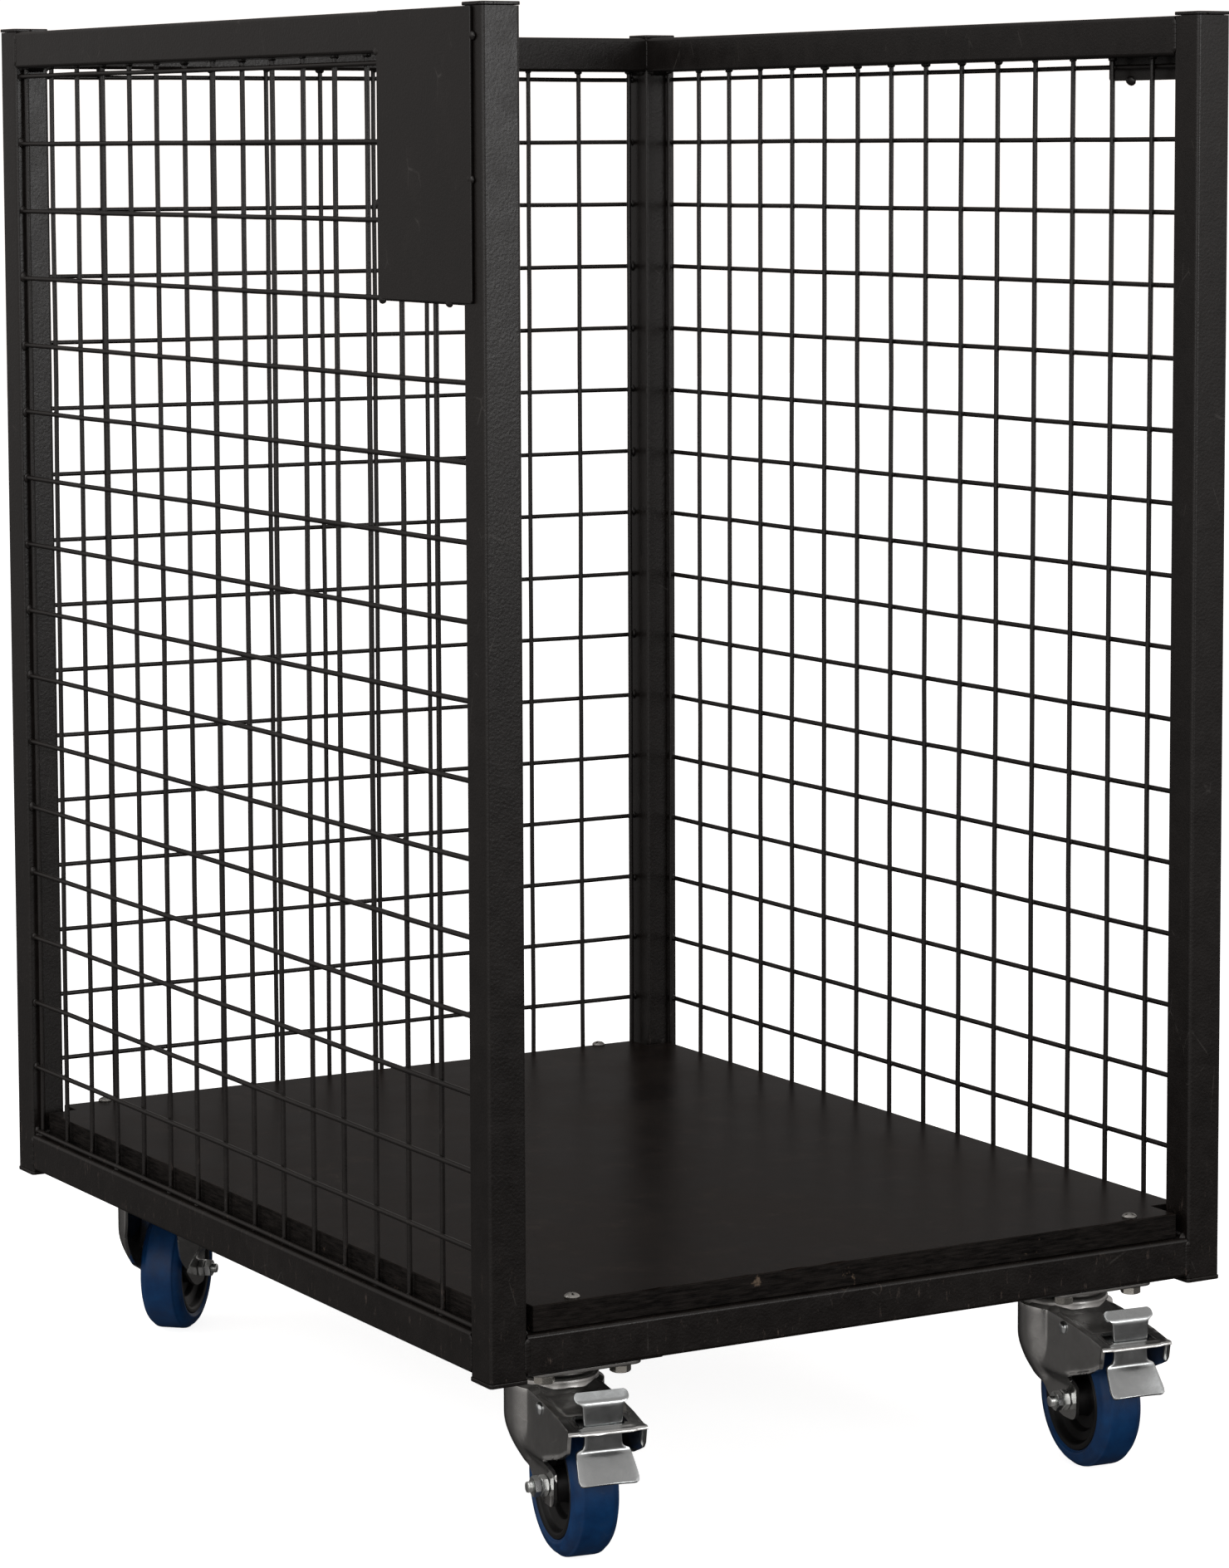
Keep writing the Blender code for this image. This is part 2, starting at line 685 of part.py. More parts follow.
def build_wheel(where, holder):
    """The nylon wheel and its rubber tyre, turned about the axle."""
    hub = empty("wheel_axis_" + where, (trail, 0.0, wheel_radius), 0.0, holder)
    rim = rim_diameter / 2
    bore = axle_size / 2 + gap
    half_hub, half_web, half_flange = hub_width / 2, web_thickness / 2, rim_flange_width / 2
    lip = 0.094 * rim
    lay_down = (math.radians(90), 0.0, 0.0)
    turned_part(
        "wheel_rim_" + where,
        [
            (bore, half_hub), (hub_radius, half_hub), (hub_radius * 1.1, half_web), (rim - lip, half_flange),
            (rim, half_flange), (rim, -half_flange), (rim - lip, -half_flange), (hub_radius * 1.1, -half_web),
            (hub_radius, -half_hub), (bore, -half_hub),
        ],
        wheel_sides, nylon, hub, (0.0, 0.0, 0.0), lay_down, closed=True,
    )
    seat = rim + gap / math.cos(math.pi / wheel_sides)
    half_tyre = tyre_width / 2
    shoulder = 0.13 * tyre_width
    groove = 0.05 * tyre_width
    turned_part(
        "tyre_" + where,
        [
            (seat, half_tyre - groove), (seat + 1.6 * groove, half_tyre), (wheel_radius - shoulder, half_tyre),
            (wheel_radius, half_tyre - shoulder), (wheel_radius, -half_tyre + shoulder),
            (wheel_radius - shoulder, -half_tyre), (seat + 1.6 * groove, -half_tyre), (seat, -half_tyre + groove),
        ],
        wheel_sides, blue_rubber, hub, (0.0, 0.0, 0.0), lay_down, closed=True,
    )


def brake_pivot():
    return Vector((trail + 0.16 * wheel_radius, 0.0, fork_crown_height - 0.16 * wheel_radius))


def strip(bm, points, width, thickness=pedal_sheet):
    """Adds a bent strip of sheet: a side view of middle line points, given its thickness and pulled to its width."""
    turns = []
    for number, point in enumerate(points):
        before = points[max(number - 1, 0)]
        after = points[min(number + 1, len(points) - 1)]
        into = (point - before).normalized() if number else (after - point).normalized()
        out = (after - point).normalized() if number < len(points) - 1 else into
        side = Vector((-(into.y + out.y), into.x + out.x)).normalized()
        stretch = side.dot(Vector((-into.y, into.x)))
        turns.append(side * (thickness / 2 / stretch))
    edge = [point + turn for point, turn in zip(points, turns)] + [
        point - turn for point, turn in reversed(list(zip(points, turns)))
    ]
    face = bm.faces.new([bm.verts.new((spot.x, -width / 2, spot.y)) for spot in edge])
    raised = bmesh.ops.extrude_face_region(bm, geom=[face])["geom"]
    moved = [item for item in raised if isinstance(item, bmesh.types.BMVert)]
    bmesh.ops.translate(bm, vec=(0.0, width, 0.0), verts=moved)
    bmesh.ops.recalc_face_normals(bm, faces=bm.faces)


def build_brake(where, holder, fork):
    """The stamped pedal: a tongue from its pivot pin under the hood, and an upright neck through the hood's slot.
    Its own points are in wheel radii from the pivot."""
    unit = wheel_radius
    pivot = brake_pivot()
    lever = empty("brake_pivot_" + where, pivot, 0.0, holder)
    neck, tab, foot, tongue, shoe, pin = (bmesh.new() for _ in range(6))
    strip(neck, [Vector((0.97, 0.34)) * unit, Vector((0.97, -0.39)) * unit], pedal_neck_width)
    strip(
        tab, [Vector((0.96, 0.294)) * unit, Vector((0.99, 0.34)) * unit, Vector((1.12, 0.346)) * unit], pedal_tab_width,
    )
    strip(
        foot, [Vector((0.97, -0.33)) * unit, Vector((0.99, -0.39)) * unit, Vector((1.28, -0.71)) * unit],
        pedal_foot_width,
    )
    strip(tongue, [Vector((-0.02, 0.0)) * unit, Vector((0.97, -0.13)) * unit], pedal_neck_width * 0.86)
    shoe_width = tyre_width / 3
    box(shoe, (0.20 * unit, -shoe_width, -0.15 * unit), (0.36 * unit, shoe_width, -pedal_sheet * 0.4))
    reach = fork_half_width(pivot.x, pivot.z) + gap
    rod(pin, pivot_size / 2, (0, -reach, 0), (0, reach, 0), 8)
    unite([neck, tab, foot, tongue, shoe, pin], "brake_pedal_" + where, zinc_brake, lever)

    slot = bmesh.new()
    wide = pedal_neck_width / 2 + slot_clearance
    back, front = pivot.x + 0.64 * unit, pivot.x + 1.046 * unit
    box(slot, (back, -wide, pivot.z - 0.23 * unit), (front, wide, pivot.z + 0.37 * unit))
    join(fork, cutter_from(slot, "brake_slot_" + where, holder), "DIFFERENCE")
    pin_hole = bmesh.new()
    beyond = fork_shoulder_width
    rod(pin_hole, pivot_size / 2 + running_gap, (pivot.x, -beyond, pivot.z), (pivot.x, beyond, pivot.z), 8)
    join(fork, cutter_from(pin_hole, "brake_pin_hole_" + where, holder), "DIFFERENCE")


def build_castors():
    for where, (x, y, heading, braked) in castor_places().items():
        build_corner_plate(where, x, y)
        build_castor_plate(where, x, y)
        holder = empty("swivel_axis_" + where, (x, y, 0.0), math.radians(heading), root)
        fork = build_fork(where, holder, braked)
        build_axle(where, holder)
        build_wheel(where, holder)
        if braked:
            build_brake(where, holder, fork)


def set_origin():
    """Moves the whole cart so that the world origin is under the middle of its box, on the ground."""
    bpy.context.view_layer.update()
    graph = bpy.context.evaluated_depsgraph_get()
    spots = []
    for obj in cart.objects:
        if obj.type == "MESH":
            shape = obj.evaluated_get(graph)
            spots += [shape.matrix_world @ vert.co for vert in shape.data.vertices]
    low = Vector(min(spot[axis] for spot in spots) for axis in range(3))
    high = Vector(max(spot[axis] for spot in spots) for axis in range(3))
    root.location = (-(low.x + high.x) / 2, -(low.y + high.y) / 2, -low.z)
    bpy.context.view_layer.update()


build_posts()
frame_rails = build_rails()
build_mesh_walls()
build_blank_plates()
build_floor(frame_rails)
build_castors()
set_origin()
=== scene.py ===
import json
import math
import random

import bmesh
import bpy
from mathutils import Matrix, Vector, noise


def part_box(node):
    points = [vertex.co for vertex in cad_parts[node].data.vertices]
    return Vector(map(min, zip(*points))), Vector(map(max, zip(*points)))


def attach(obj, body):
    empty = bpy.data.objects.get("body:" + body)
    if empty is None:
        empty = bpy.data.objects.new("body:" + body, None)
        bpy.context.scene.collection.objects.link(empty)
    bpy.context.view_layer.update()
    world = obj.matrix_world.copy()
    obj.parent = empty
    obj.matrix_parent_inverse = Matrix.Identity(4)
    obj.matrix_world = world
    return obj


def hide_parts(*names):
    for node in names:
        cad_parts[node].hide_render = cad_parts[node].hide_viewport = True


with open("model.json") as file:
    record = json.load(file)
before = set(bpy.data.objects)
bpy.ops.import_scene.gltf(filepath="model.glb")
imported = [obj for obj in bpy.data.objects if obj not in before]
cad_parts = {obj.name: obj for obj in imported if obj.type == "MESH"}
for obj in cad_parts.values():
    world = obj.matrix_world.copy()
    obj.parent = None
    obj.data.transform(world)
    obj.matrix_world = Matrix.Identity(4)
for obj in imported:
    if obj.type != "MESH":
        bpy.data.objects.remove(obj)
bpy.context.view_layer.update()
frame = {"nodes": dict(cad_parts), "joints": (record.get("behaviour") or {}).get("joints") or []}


# The cage's posts and rails are square mild steel tube with rounded corners, sawn square and welded up into
# a box that is open at the front and the top. It is powder coated in black after welding, with a fine
# orange peel.

post_places = ("front_left", "front_right", "back_right", "back_left")
tube_corner = 0.0025


def join_socket(tree, socket, value):
    if isinstance(value, bpy.types.NodeSocket):
        tree.links.new(value, socket)
    else:
        socket.default_value = value


def shader_node(tree, kind, settings=None, **sockets):
    """Adds a node. Each socket is given a value, or the output that is linked into it."""
    made = tree.nodes.new("ShaderNode" + kind)
    for name, value in (settings or {}).items():
        setattr(made, name, value)
    for name, value in sockets.items():
        join_socket(tree, made.inputs[name.replace("_", " ")], value)
    return made.outputs[0]


def sum_node(tree, operation, first, second):
    made = tree.nodes.new("ShaderNodeMath")
    made.operation = operation
    join_socket(tree, made.inputs[0], first)
    join_socket(tree, made.inputs[1], second)
    return made.outputs[0]


def scaled_sum(tree, value, factor, added):
    """A value times a factor, with another value added."""
    total = sum_node(tree, "MULTIPLY_ADD", value, factor)
    join_socket(tree, total.node.inputs[2], added)
    return total


def mixed_colour(tree, mask, under, over):
    """The colour under, with the colour over laid on it where the mask is 1."""
    made = tree.nodes.new("ShaderNodeMix")
    made.data_type = "RGBA"
    join_socket(tree, made.inputs[0], mask)
    for place, colour in ((6, under), (7, over)):
        plain = not isinstance(colour, bpy.types.NodeSocket)
        join_socket(tree, made.inputs[place], (*colour, 1.0) if plain else colour)
    return made.outputs[2]


def spread(tree, value, low, high, new_low=0.0, new_high=1.0):
    """Stretches the part of a value between low and high to a new range, and clips the rest."""
    return shader_node(
        tree, "MapRange", {"clamp": True}, Value=value, From_Min=low, From_Max=high, To_Min=new_low,
        To_Max=new_high,
    )


def separated(tree, vector):
    """The X, Y and Z of a vector."""
    parts = tree.nodes.new("ShaderNodeSeparateXYZ")
    tree.links.new(vector, parts.inputs[0])
    return parts.outputs


def surface_normal(tree):
    return tree.nodes.new("ShaderNodeNewGeometry").outputs["Normal"]


def wear_group():
    """Masks of dust on upward faces, of rub marks in patches and of thin scratches, with a fine grit."""
    group = bpy.data.node_groups.new("workshop_wear", "ShaderNodeTree")
    for name, kind, value in (
        ("Vector", "NodeSocketVector", None), ("Scale", "NodeSocketFloat", 1.0),
        ("Dust", "NodeSocketFloat", 0.5), ("Rubbing", "NodeSocketFloat", 0.5),
    ):
        socket = group.interface.new_socket(name=name, in_out="INPUT", socket_type=kind)
        if value is not None:
            socket.default_value = value
    for name in ("Dust", "Rubbing", "Scratches", "Grit"):
        group.interface.new_socket(name=name, in_out="OUTPUT", socket_type="NodeSocketFloat")
    enter = group.nodes.new("NodeGroupInput")
    leave = group.nodes.new("NodeGroupOutput")
    scaled = group.nodes.new("ShaderNodeVectorMath")
    scaled.operation = "SCALE"
    group.links.new(enter.outputs["Vector"], scaled.inputs[0])
    group.links.new(enter.outputs["Scale"], scaled.inputs["Scale"])
    place = scaled.outputs[0]
    cloud = shader_node(group, "TexNoise", Vector=place, Scale=7.0, Detail=6.0, Roughness=0.62)
    patches = shader_node(group, "TexNoise", Vector=place, Scale=23.0, Detail=7.0, Roughness=0.7)
    grit = shader_node(group, "TexNoise", Vector=place, Scale=420.0, Detail=3.0, Roughness=0.6)
    upward = spread(group, separated(group, surface_normal(group))[2], -0.2, 0.9, 0.22, 1.0)
    settled = sum_node(group, "MULTIPLY", spread(group, cloud, 0.36, 0.68), upward)
    grainy = sum_node(group, "MULTIPLY", settled, spread(group, grit, 0.3, 0.6, 0.55, 1.0))
    rubbed = spread(group, patches, 0.54, 0.66)
    drawn_out = group.nodes.new("ShaderNodeVectorMath")
    drawn_out.operation = "MULTIPLY"
    group.links.new(place, drawn_out.inputs[0])
    drawn_out.inputs[1].default_value = (1.0, 1.0, 0.4)
    cells = shader_node(
        group, "TexVoronoi", {"feature": "DISTANCE_TO_EDGE"}, Vector=drawn_out.outputs[0], Scale=34.0,
        Randomness=1.0,
    )
    lines = spread(group, cells, 0.0, 0.012, 1.0, 0.0)
    scratched = sum_node(group, "MULTIPLY", lines, spread(group, patches, 0.56, 0.62))
    for name, mask, amount in (
        ("Dust", grainy, "Dust"), ("Rubbing", rubbed, "Rubbing"), ("Scratches", scratched, "Rubbing"),
    ):
        group.links.new(sum_node(group, "MULTIPLY", mask, enter.outputs[amount]), leave.inputs[name])
    group.links.new(grit, leave.inputs["Grit"])
    return group


workshop_wear = wear_group()


def new_finish(name, plain):
    """A material with the shader's plain values set on it. Gives the material, its tree, shader and place."""
    made = bpy.data.materials.new(name)
    made.use_nodes = True
    tree = made.node_tree
    shader = tree.nodes["Principled BSDF"]
    for socket, value in plain.items():
        shader.inputs[socket].default_value = value
    place = tree.nodes.new("ShaderNodeTexCoord").outputs["Object"]
    return made, tree, shader, place


def worn(tree, place, scale, dust, rubbing):
    """Places the wear group in a material, and gives its outputs by name."""
    made = tree.nodes.new("ShaderNodeGroup")
    made.node_tree = workshop_wear
    tree.links.new(place, made.inputs["Vector"])
    for name, value in (("Scale", scale), ("Dust", dust), ("Rubbing", rubbing)):
        made.inputs[name].default_value = value
    return made.outputs


def bumped(tree, shader, height, strength, distance):
    made = tree.nodes.new("ShaderNodeBump")
    made.inputs["Strength"].default_value = strength
    made.inputs["Distance"].default_value = distance
    tree.links.new(height, made.inputs["Height"])
    tree.links.new(made.outputs["Normal"], shader.inputs["Normal"])


def powder_coat(name, colour, gloss, peel_size, dust, rubbing, peel=0.22):
    """Black powder coat: an even dark colour, an orange peel of small soft bumps, dust and rub marks."""
    rubbed_coat, scratch_grey = (0.013, 0.011, 0.010), (0.09, 0.085, 0.08)
    kicked_grey, grey_dust = (0.13, 0.10, 0.085), (0.055, 0.045, 0.038)
    kicks_end, kicks_full = 0.235, 0.15
    made, tree, shader, place = new_finish(name, {"Specular IOR Level": 0.34})
    wear = worn(tree, place, 1.0, dust, rubbing)
    tone = shader_node(tree, "TexNoise", Vector=place, Scale=60.0, Detail=4.0, Roughness=0.6)
    lighter = [part * 1.45 for part in colour]
    base = mixed_colour(tree, spread(tree, tone, 0.3, 0.7), colour, lighter)
    base = mixed_colour(tree, wear["Rubbing"], base, rubbed_coat)
    base = mixed_colour(tree, wear["Scratches"], base, scratch_grey)
    drawn_out = shader_node(tree, "Mapping", Vector=place, Scale=(1.0, 1.0, 0.22))
    streaks = shader_node(tree, "TexNoise", Vector=drawn_out, Scale=210.0, Detail=6.0, Roughness=0.75)
    near_feet = spread(tree, separated(tree, place)[2], kicks_end, kicks_full)
    kicked = sum_node(tree, "MULTIPLY", spread(tree, streaks, 0.60, 0.70), near_feet)
    base = mixed_colour(tree, sum_node(tree, "MULTIPLY", kicked, 0.55), base, kicked_grey)
    base = mixed_colour(tree, wear["Dust"], base, grey_dust)
    tree.links.new(base, shader.inputs["Base Color"])
    dull = scaled_sum(tree, wear["Dust"], 0.35, spread(tree, tone, 0.3, 0.7, gloss - 0.04, gloss + 0.05))
    tree.links.new(dull, shader.inputs["Roughness"])
    fine = shader_node(tree, "TexNoise", Vector=place, Scale=peel_size, Detail=2.0, Roughness=0.5)
    bumped(tree, shader, scaled_sum(tree, wear["Grit"], 0.25, fine), peel, 0.0006)
    return made


black_frame_coat = powder_coat(
    "black_frame_coat", (0.0040, 0.0030, 0.0026), gloss=0.31, peel_size=520.0, dust=0.12, rubbing=0.30,
)


def place_piece(bm, name, body, finish, stands_for=(), sharp=32.0, level=False):
    """Makes a bmesh a piece of the cart: shaded smooth but for its sharp edges, and riding on its body.

    A level piece keeps the shading of its broad flat faces even, right up to its rounded rims.
    """
    for face in bm.faces:
        face.smooth = True
    for edge in bm.edges:
        if len(edge.link_faces) == 2 and edge.calc_face_angle(0.0) > math.radians(sharp):
            edge.smooth = False
    mesh = bpy.data.meshes.new(name)
    bm.to_mesh(mesh)
    bm.free()
    mesh.materials.append(finish)
    piece = bpy.data.objects.new(name, mesh)
    bpy.context.scene.collection.objects.link(piece)
    if level:
        even = piece.modifiers.new("even_faces", "WEIGHTED_NORMAL")
        even.keep_sharp = True
    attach(piece, body)
    if stands_for:
        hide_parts(*stands_for)
    return piece


def block(bm, low, high):
    """Adds a box between two corners, and gives its vertices."""
    made = bmesh.ops.create_cube(bm, size=1.0)["verts"]
    low, high = Vector(low), Vector(high)
    bmesh.ops.scale(bm, vec=high - low, verts=made)
    bmesh.ops.translate(bm, vec=(low + high) / 2, verts=made)
    return made


def edges_of(verts, along=None):
    """The edges between these vertices: all of them, or those along one axis."""
    span = set(verts)
    found = dict.fromkeys(edge for vert in verts for edge in vert.link_edges if edge.other_vert(vert) in span)
    if along is None:
        return list(found)
    return [
        edge for edge in found
        if abs((edge.verts[0].co - edge.verts[1].co)[along]) > 0.9 * edge.calc_length()
    ]


def turned_edges(edges, least_angle):
    """Those of the edges where the surface turns by more than this angle."""
    return [edge for edge in edges if edge.calc_face_angle(0.0) > least_angle]


def round_edges(bm, edges, radius, segments):
    bmesh.ops.bevel(
        bm, geom=list(edges), offset=radius, offset_type="OFFSET", segments=segments, profile=0.5,
        affect="EDGES", material=-1, clamp_overlap=True,
    )


def square_tube(name):
    """A length of tube in the place of its CAD node, with four rounded corners along it."""
    low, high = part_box(name)
    size = high - low
    along = max(range(3), key=lambda axis: size[axis])
    bm = bmesh.new()
    made = block(bm, low, high)
    round_edges(bm, edges_of(made, along), tube_corner, 5)
    place_piece(bm, name + "_tube", "cart", black_frame_coat, (name,), level=True)


rail_names = [f"{level}_rail_{side}" for level in ("top", "bottom") for side in ("left", "right", "back")]
rail_names.append("bottom_rail_front")
for tube_name in ["post_" + where for where in post_places] + rail_names:
    square_tube(tube_name)


# The weld runs where rails meet posts are small ripples of steel laid by hand: a low bead across the
# outside faces and a fillet in the inside corners. They are left as welded and coated over with the frame.

dice = random.Random(11)
bead_width = 0.0046
outer_bead_rise, inner_bead_rise = 0.26, 0.3
fillet_width, fillet_rise = 0.0072, 0.75
bead_end, fillet_end = 0.002, 0.003
weld_step = 0.0009


def new_verts(bm, before):
    return [vert for vert in bm.verts if vert not in before]


def pulled_rod(bm, start, end, radius, sides, steps, outward=(0.0, 0.0, 1.0), flat=1.0):
    """Adds a rod pulled from a circle. Its section can be flattened towards one side. Gives its vertices."""
    run = end - start
    way = run.normalized()
    across = Vector(outward).cross(way).normalized()
    turn = Matrix((across, way.cross(across), way)).transposed().to_4x4()
    before = set(bm.verts)
    squeeze = Matrix.Diagonal((1.0, flat, 1.0, 1.0))
    ring = bmesh.ops.create_circle(
        bm, cap_ends=False, radius=radius, segments=sides, matrix=Matrix.Translation(start) @ turn @ squeeze,
    )["verts"]
    bmesh.ops.spin(
        bm, geom=edges_of(ring), cent=start, axis=way, dvec=run / steps, angle=0.0, steps=steps,
        use_merge=False, use_duplicate=False,
    )
    return new_verts(bm, before)


def close_ends(bm, rod, sides):
    bmesh.ops.holes_fill(bm, edges=[edge for edge in edges_of(rod) if edge.is_boundary], sides=sides)


def weld_run(bm, start, end, outward, width, rise):
    """Adds one run of weld: a low ridge that swells at each pool and thins out at both ends."""
    start, end = Vector(start), Vector(end)
    length = (end - start).length
    way = (end - start) / length
    sides = 10
    made = pulled_rod(bm, start, end, width / 2, sides, max(6, int(length / weld_step)), outward, rise)
    phase = dice.uniform(0.0, 6.0)
    for vert in made:
        along = (vert.co - start).dot(way)
        centre = start + way * along
        ends = min(1.0, 0.25 + 6.0 * min(along, length - along) / (0.012 + length * 0.2))
        uneven = noise.noise(Vector((along * 260.0, phase, 0.0)))
        pool = 1.0 + 0.13 * math.sin(along * 2900.0 + phase) + 0.14 * uneven
        vert.co = centre + (vert.co - centre) * ends * pool
    close_ends(bm, made, sides)


def weld_rails_to_post(where):
    """Runs on every face where the rails butt against one post, at both levels."""
    low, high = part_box("post_" + where)
    left, front = low.x < 0.0, low.y < 0.0
    outer_x, inner_x = (low.x, high.x) if left else (high.x, low.x)
    outer_y, inner_y = (low.y, high.y) if front else (high.y, low.y)
    out_x = Vector((-1.0 if left else 1.0, 0.0, 0.0))
    out_y = Vector((0.0, -1.0 if front else 1.0, 0.0))
    bm = bmesh.new()
    for level in ("bottom", "top"):
        rail_low, rail_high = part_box(f"{level}_rail_" + ("left" if left else "right"))
        base, top = rail_low.z + bead_end, rail_high.z - bead_end
        shelf, upward = (rail_high.z, 1.0) if level == "bottom" else (rail_low.z, -1.0)
        weld_run(bm, (outer_x, inner_y, base), (outer_x, inner_y, top), out_x, bead_width, outer_bead_rise)
        weld_run(bm, (inner_x, inner_y, base), (inner_x, inner_y, top), -out_x, bead_width, inner_bead_rise)
        weld_run(
            bm, (low.x + fillet_end, inner_y, shelf), (high.x - fillet_end, inner_y, shelf),
            Vector((0.0, -out_y.y, upward)).normalized(), fillet_width, fillet_rise,
        )
        if front and level == "top":
            continue
        weld_run(bm, (inner_x, outer_y, base), (inner_x, outer_y, top), out_y, bead_width, outer_bead_rise)
        weld_run(
            bm, (inner_x, low.y + fillet_end, shelf), (inner_x, high.y - fillet_end, shelf),
            Vector((-out_x.x, 0.0, upward)).normalized(), fillet_width, fillet_rise,
        )
    place_piece(bm, "post_welds_" + where, "cart", black_frame_coat, sharp=75.0)


for where in post_places:
    weld_rails_to_post(where)


# Each post is closed by a thin square of sheet steel at the top and a thicker one at the bottom, welded on
# a little proud of the tube and coated over, with small lumps of weld left round its edge.

end_plate_corner = 0.0028
plate_rim = 0.0006


def weld_spatter(bm, middle, radius, squash):
    """Adds a small lump of weld, flattened on the face that it sits on."""
    made = bmesh.ops.create_icosphere(bm, subdivisions=2, radius=radius)["verts"]
    seed = dice.uniform(0.0, 50.0)
    for vert in made:
        vert.co *= 1.0 + 0.22 * noise.noise(vert.co / radius * 0.9 + Vector((seed, 0.0, 0.0)))
    bmesh.ops.scale(bm, vec=squash, verts=made)
    bmesh.ops.translate(bm, vec=middle, verts=made)


def end_plate(node, lumps):
    low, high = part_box(node)
    bm = bmesh.new()
    made = block(bm, low, high)
    round_edges(bm, edges_of(made, 2), end_plate_corner, 5)
    level_edges = [edge for edge in bm.edges if abs(edge.verts[0].co.z - edge.verts[1].co.z) < 0.0001]
    round_edges(bm, turned_edges(level_edges, 0.8), plate_rim, 3)
    middle = (low + high) / 2
    edge_reach = (high.x - low.x) / 2 - 0.0005
    for _ in range(lumps):
        across = dice.uniform(-0.011, 0.011)
        face = Vector((*dice.choice(((-1, 0), (1, 0), (0, -1), (0, 1))), 0))
        spot = middle + face * edge_reach + Vector((abs(face.y), abs(face.x), 0.0)) * across
        weld_spatter(bm, spot, dice.uniform(0.0008, 0.0014), (1.0, 1.0, 0.7))
    place_piece(bm, node + "_plate", "cart", black_frame_coat, (node,), 40.0, True)


for where in post_places:
    end_plate("post_cap_" + where, 5)
    end_plate("post_foot_" + where, 4)


# The three walls are panels of welded steel wire, 3.8 mm thick with its coat, in cells of about 49 by 53
# mm. The level wires lie outside the upright ones, and all are welded to the posts and the rails before the
# coating.

wire_radius = 0.00190
wire_sides = 8
cell_across = 0.0493
cell_up = 0.0532
level_wires_in = 0.0048
upright_wires_in = 0.0080
panel_gaps = 0.0006
wire_wave = 0.0005
tack_scatter = 0.001
black_wire_coat = powder_coat(
    "black_wire_coat", (0.0044, 0.0034, 0.0030), gloss=0.30, peel_size=700.0, dust=0.14, rubbing=0.25,
    peel=0.15,
)


def wire_places(opening, pitch, share):
    """Where the wires stand across an opening: whole cells, and what is left over shared between the ends."""
    cells = int((opening - 4 * wire_radius) / pitch)
    first = 1.2 * wire_radius + (opening - cells * pitch - 2.4 * wire_radius) * share
    return [first + number * pitch for number in range(cells + 1)]


def straight_wire(bm, start, end):
    """Adds one wire, with the slight waves of wire that was straightened off a coil."""
    made = pulled_rod(bm, start, end, wire_radius, wire_sides, 14, (0.31, 0.42, 0.85))
    way = (end - start).normalized()
    seed = dice.uniform(0.0, 90.0)
    for vert in made:
        along = (vert.co - start).dot(way)
        wave = noise.noise_vector(Vector((along * 9.0, seed, 0.0))) * wire_wave
        vert.co += wave - way * wave.dot(way)
    close_ends(bm, made, wire_sides)


def wire_wall(name, corner, across, outward):
    """One wall, from its lower corner on the outer plane of the tubes, with its ways across and out."""
    across, outward, up = Vector(across), Vector(outward), Vector((0.0, 0.0, 1.0))
    low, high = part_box(name)
    width = abs((high - low).dot(across)) + panel_gaps
    height = high.z - low.z + panel_gaps
    uprights = wire_places(width, cell_across, 0.5)
    levels = wire_places(height, cell_up, 0.1)
    outside = corner - outward * level_wires_in
    inside = corner - outward * upright_wires_in
    bm = bmesh.new()
    for level in levels:
        straight_wire(bm, outside + up * level, outside + up * level + across * width)
    for upright in uprights:
        straight_wire(bm, inside + across * upright, inside + across * upright + up * height)
    join_plane = (outside + inside) / 2
    squash = Vector([1.0 if abs(outward[axis]) < 0.5 else 0.55 for axis in range(3)])
    for level in levels:
        for upright in uprights:
            radius = dice.uniform(0.0022, 0.0027)
            made = bmesh.ops.create_icosphere(bm, subdivisions=1, radius=radius)["verts"]
            bmesh.ops.scale(bm, vec=squash, verts=made)
            bmesh.ops.translate(bm, vec=join_plane + across * upright + up * level, verts=made)
    place_piece(bm, name + "_wires", "cart", black_wire_coat, (name,), 75.0)
    tacks = bmesh.new()
    for level in levels:
        for end in (0.0, width):
            spot = outside + up * (level + dice.uniform(-tack_scatter, tack_scatter)) + across * end
            weld_spatter(tacks, spot, dice.uniform(0.0022, 0.0038), Vector((0.85, 0.85, 1.25)))
    for upright in uprights:
        for end in (0.0, height):
            spot = inside + up * end + across * (upright + dice.uniform(-tack_scatter, tack_scatter))
            weld_spatter(tacks, spot, dice.uniform(0.0022, 0.0036), Vector((1.1, 1.1, 0.85)))
    place_piece(tacks, name + "_tacks", "cart", black_frame_coat, (), 75.0)


front_low, front_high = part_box("post_front_left")
back_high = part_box("post_back_right")[1]
wall_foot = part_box("bottom_rail_left")[1].z
wire_wall("mesh_left", Vector((front_low.x, front_high.y, wall_foot)), (0, 1, 0), (-1, 0, 0))
wire_wall("mesh_right", Vector((back_high.x, front_high.y, wall_foot)), (0, 1, 0), (1, 0, 0))
wire_wall("mesh_back", Vector((front_high.x, back_high.y, wall_foot)), (1, 0, 0), (0, 1, 0))


# A bare plate of 2 mm sheet steel is on the outside of each side wall, by the front post and level with the
# top rail: a tall one on the left and a low one on the right. Each is tacked on round its edges and carries
# nothing.

sheet_corner = 0.0022
sheet_coat = powder_coat(
    "black_sheet_coat", (0.0042, 0.0032, 0.0028), gloss=0.32, peel_size=420.0, dust=0.10, rubbing=0.35,
    peel=0.14,
)


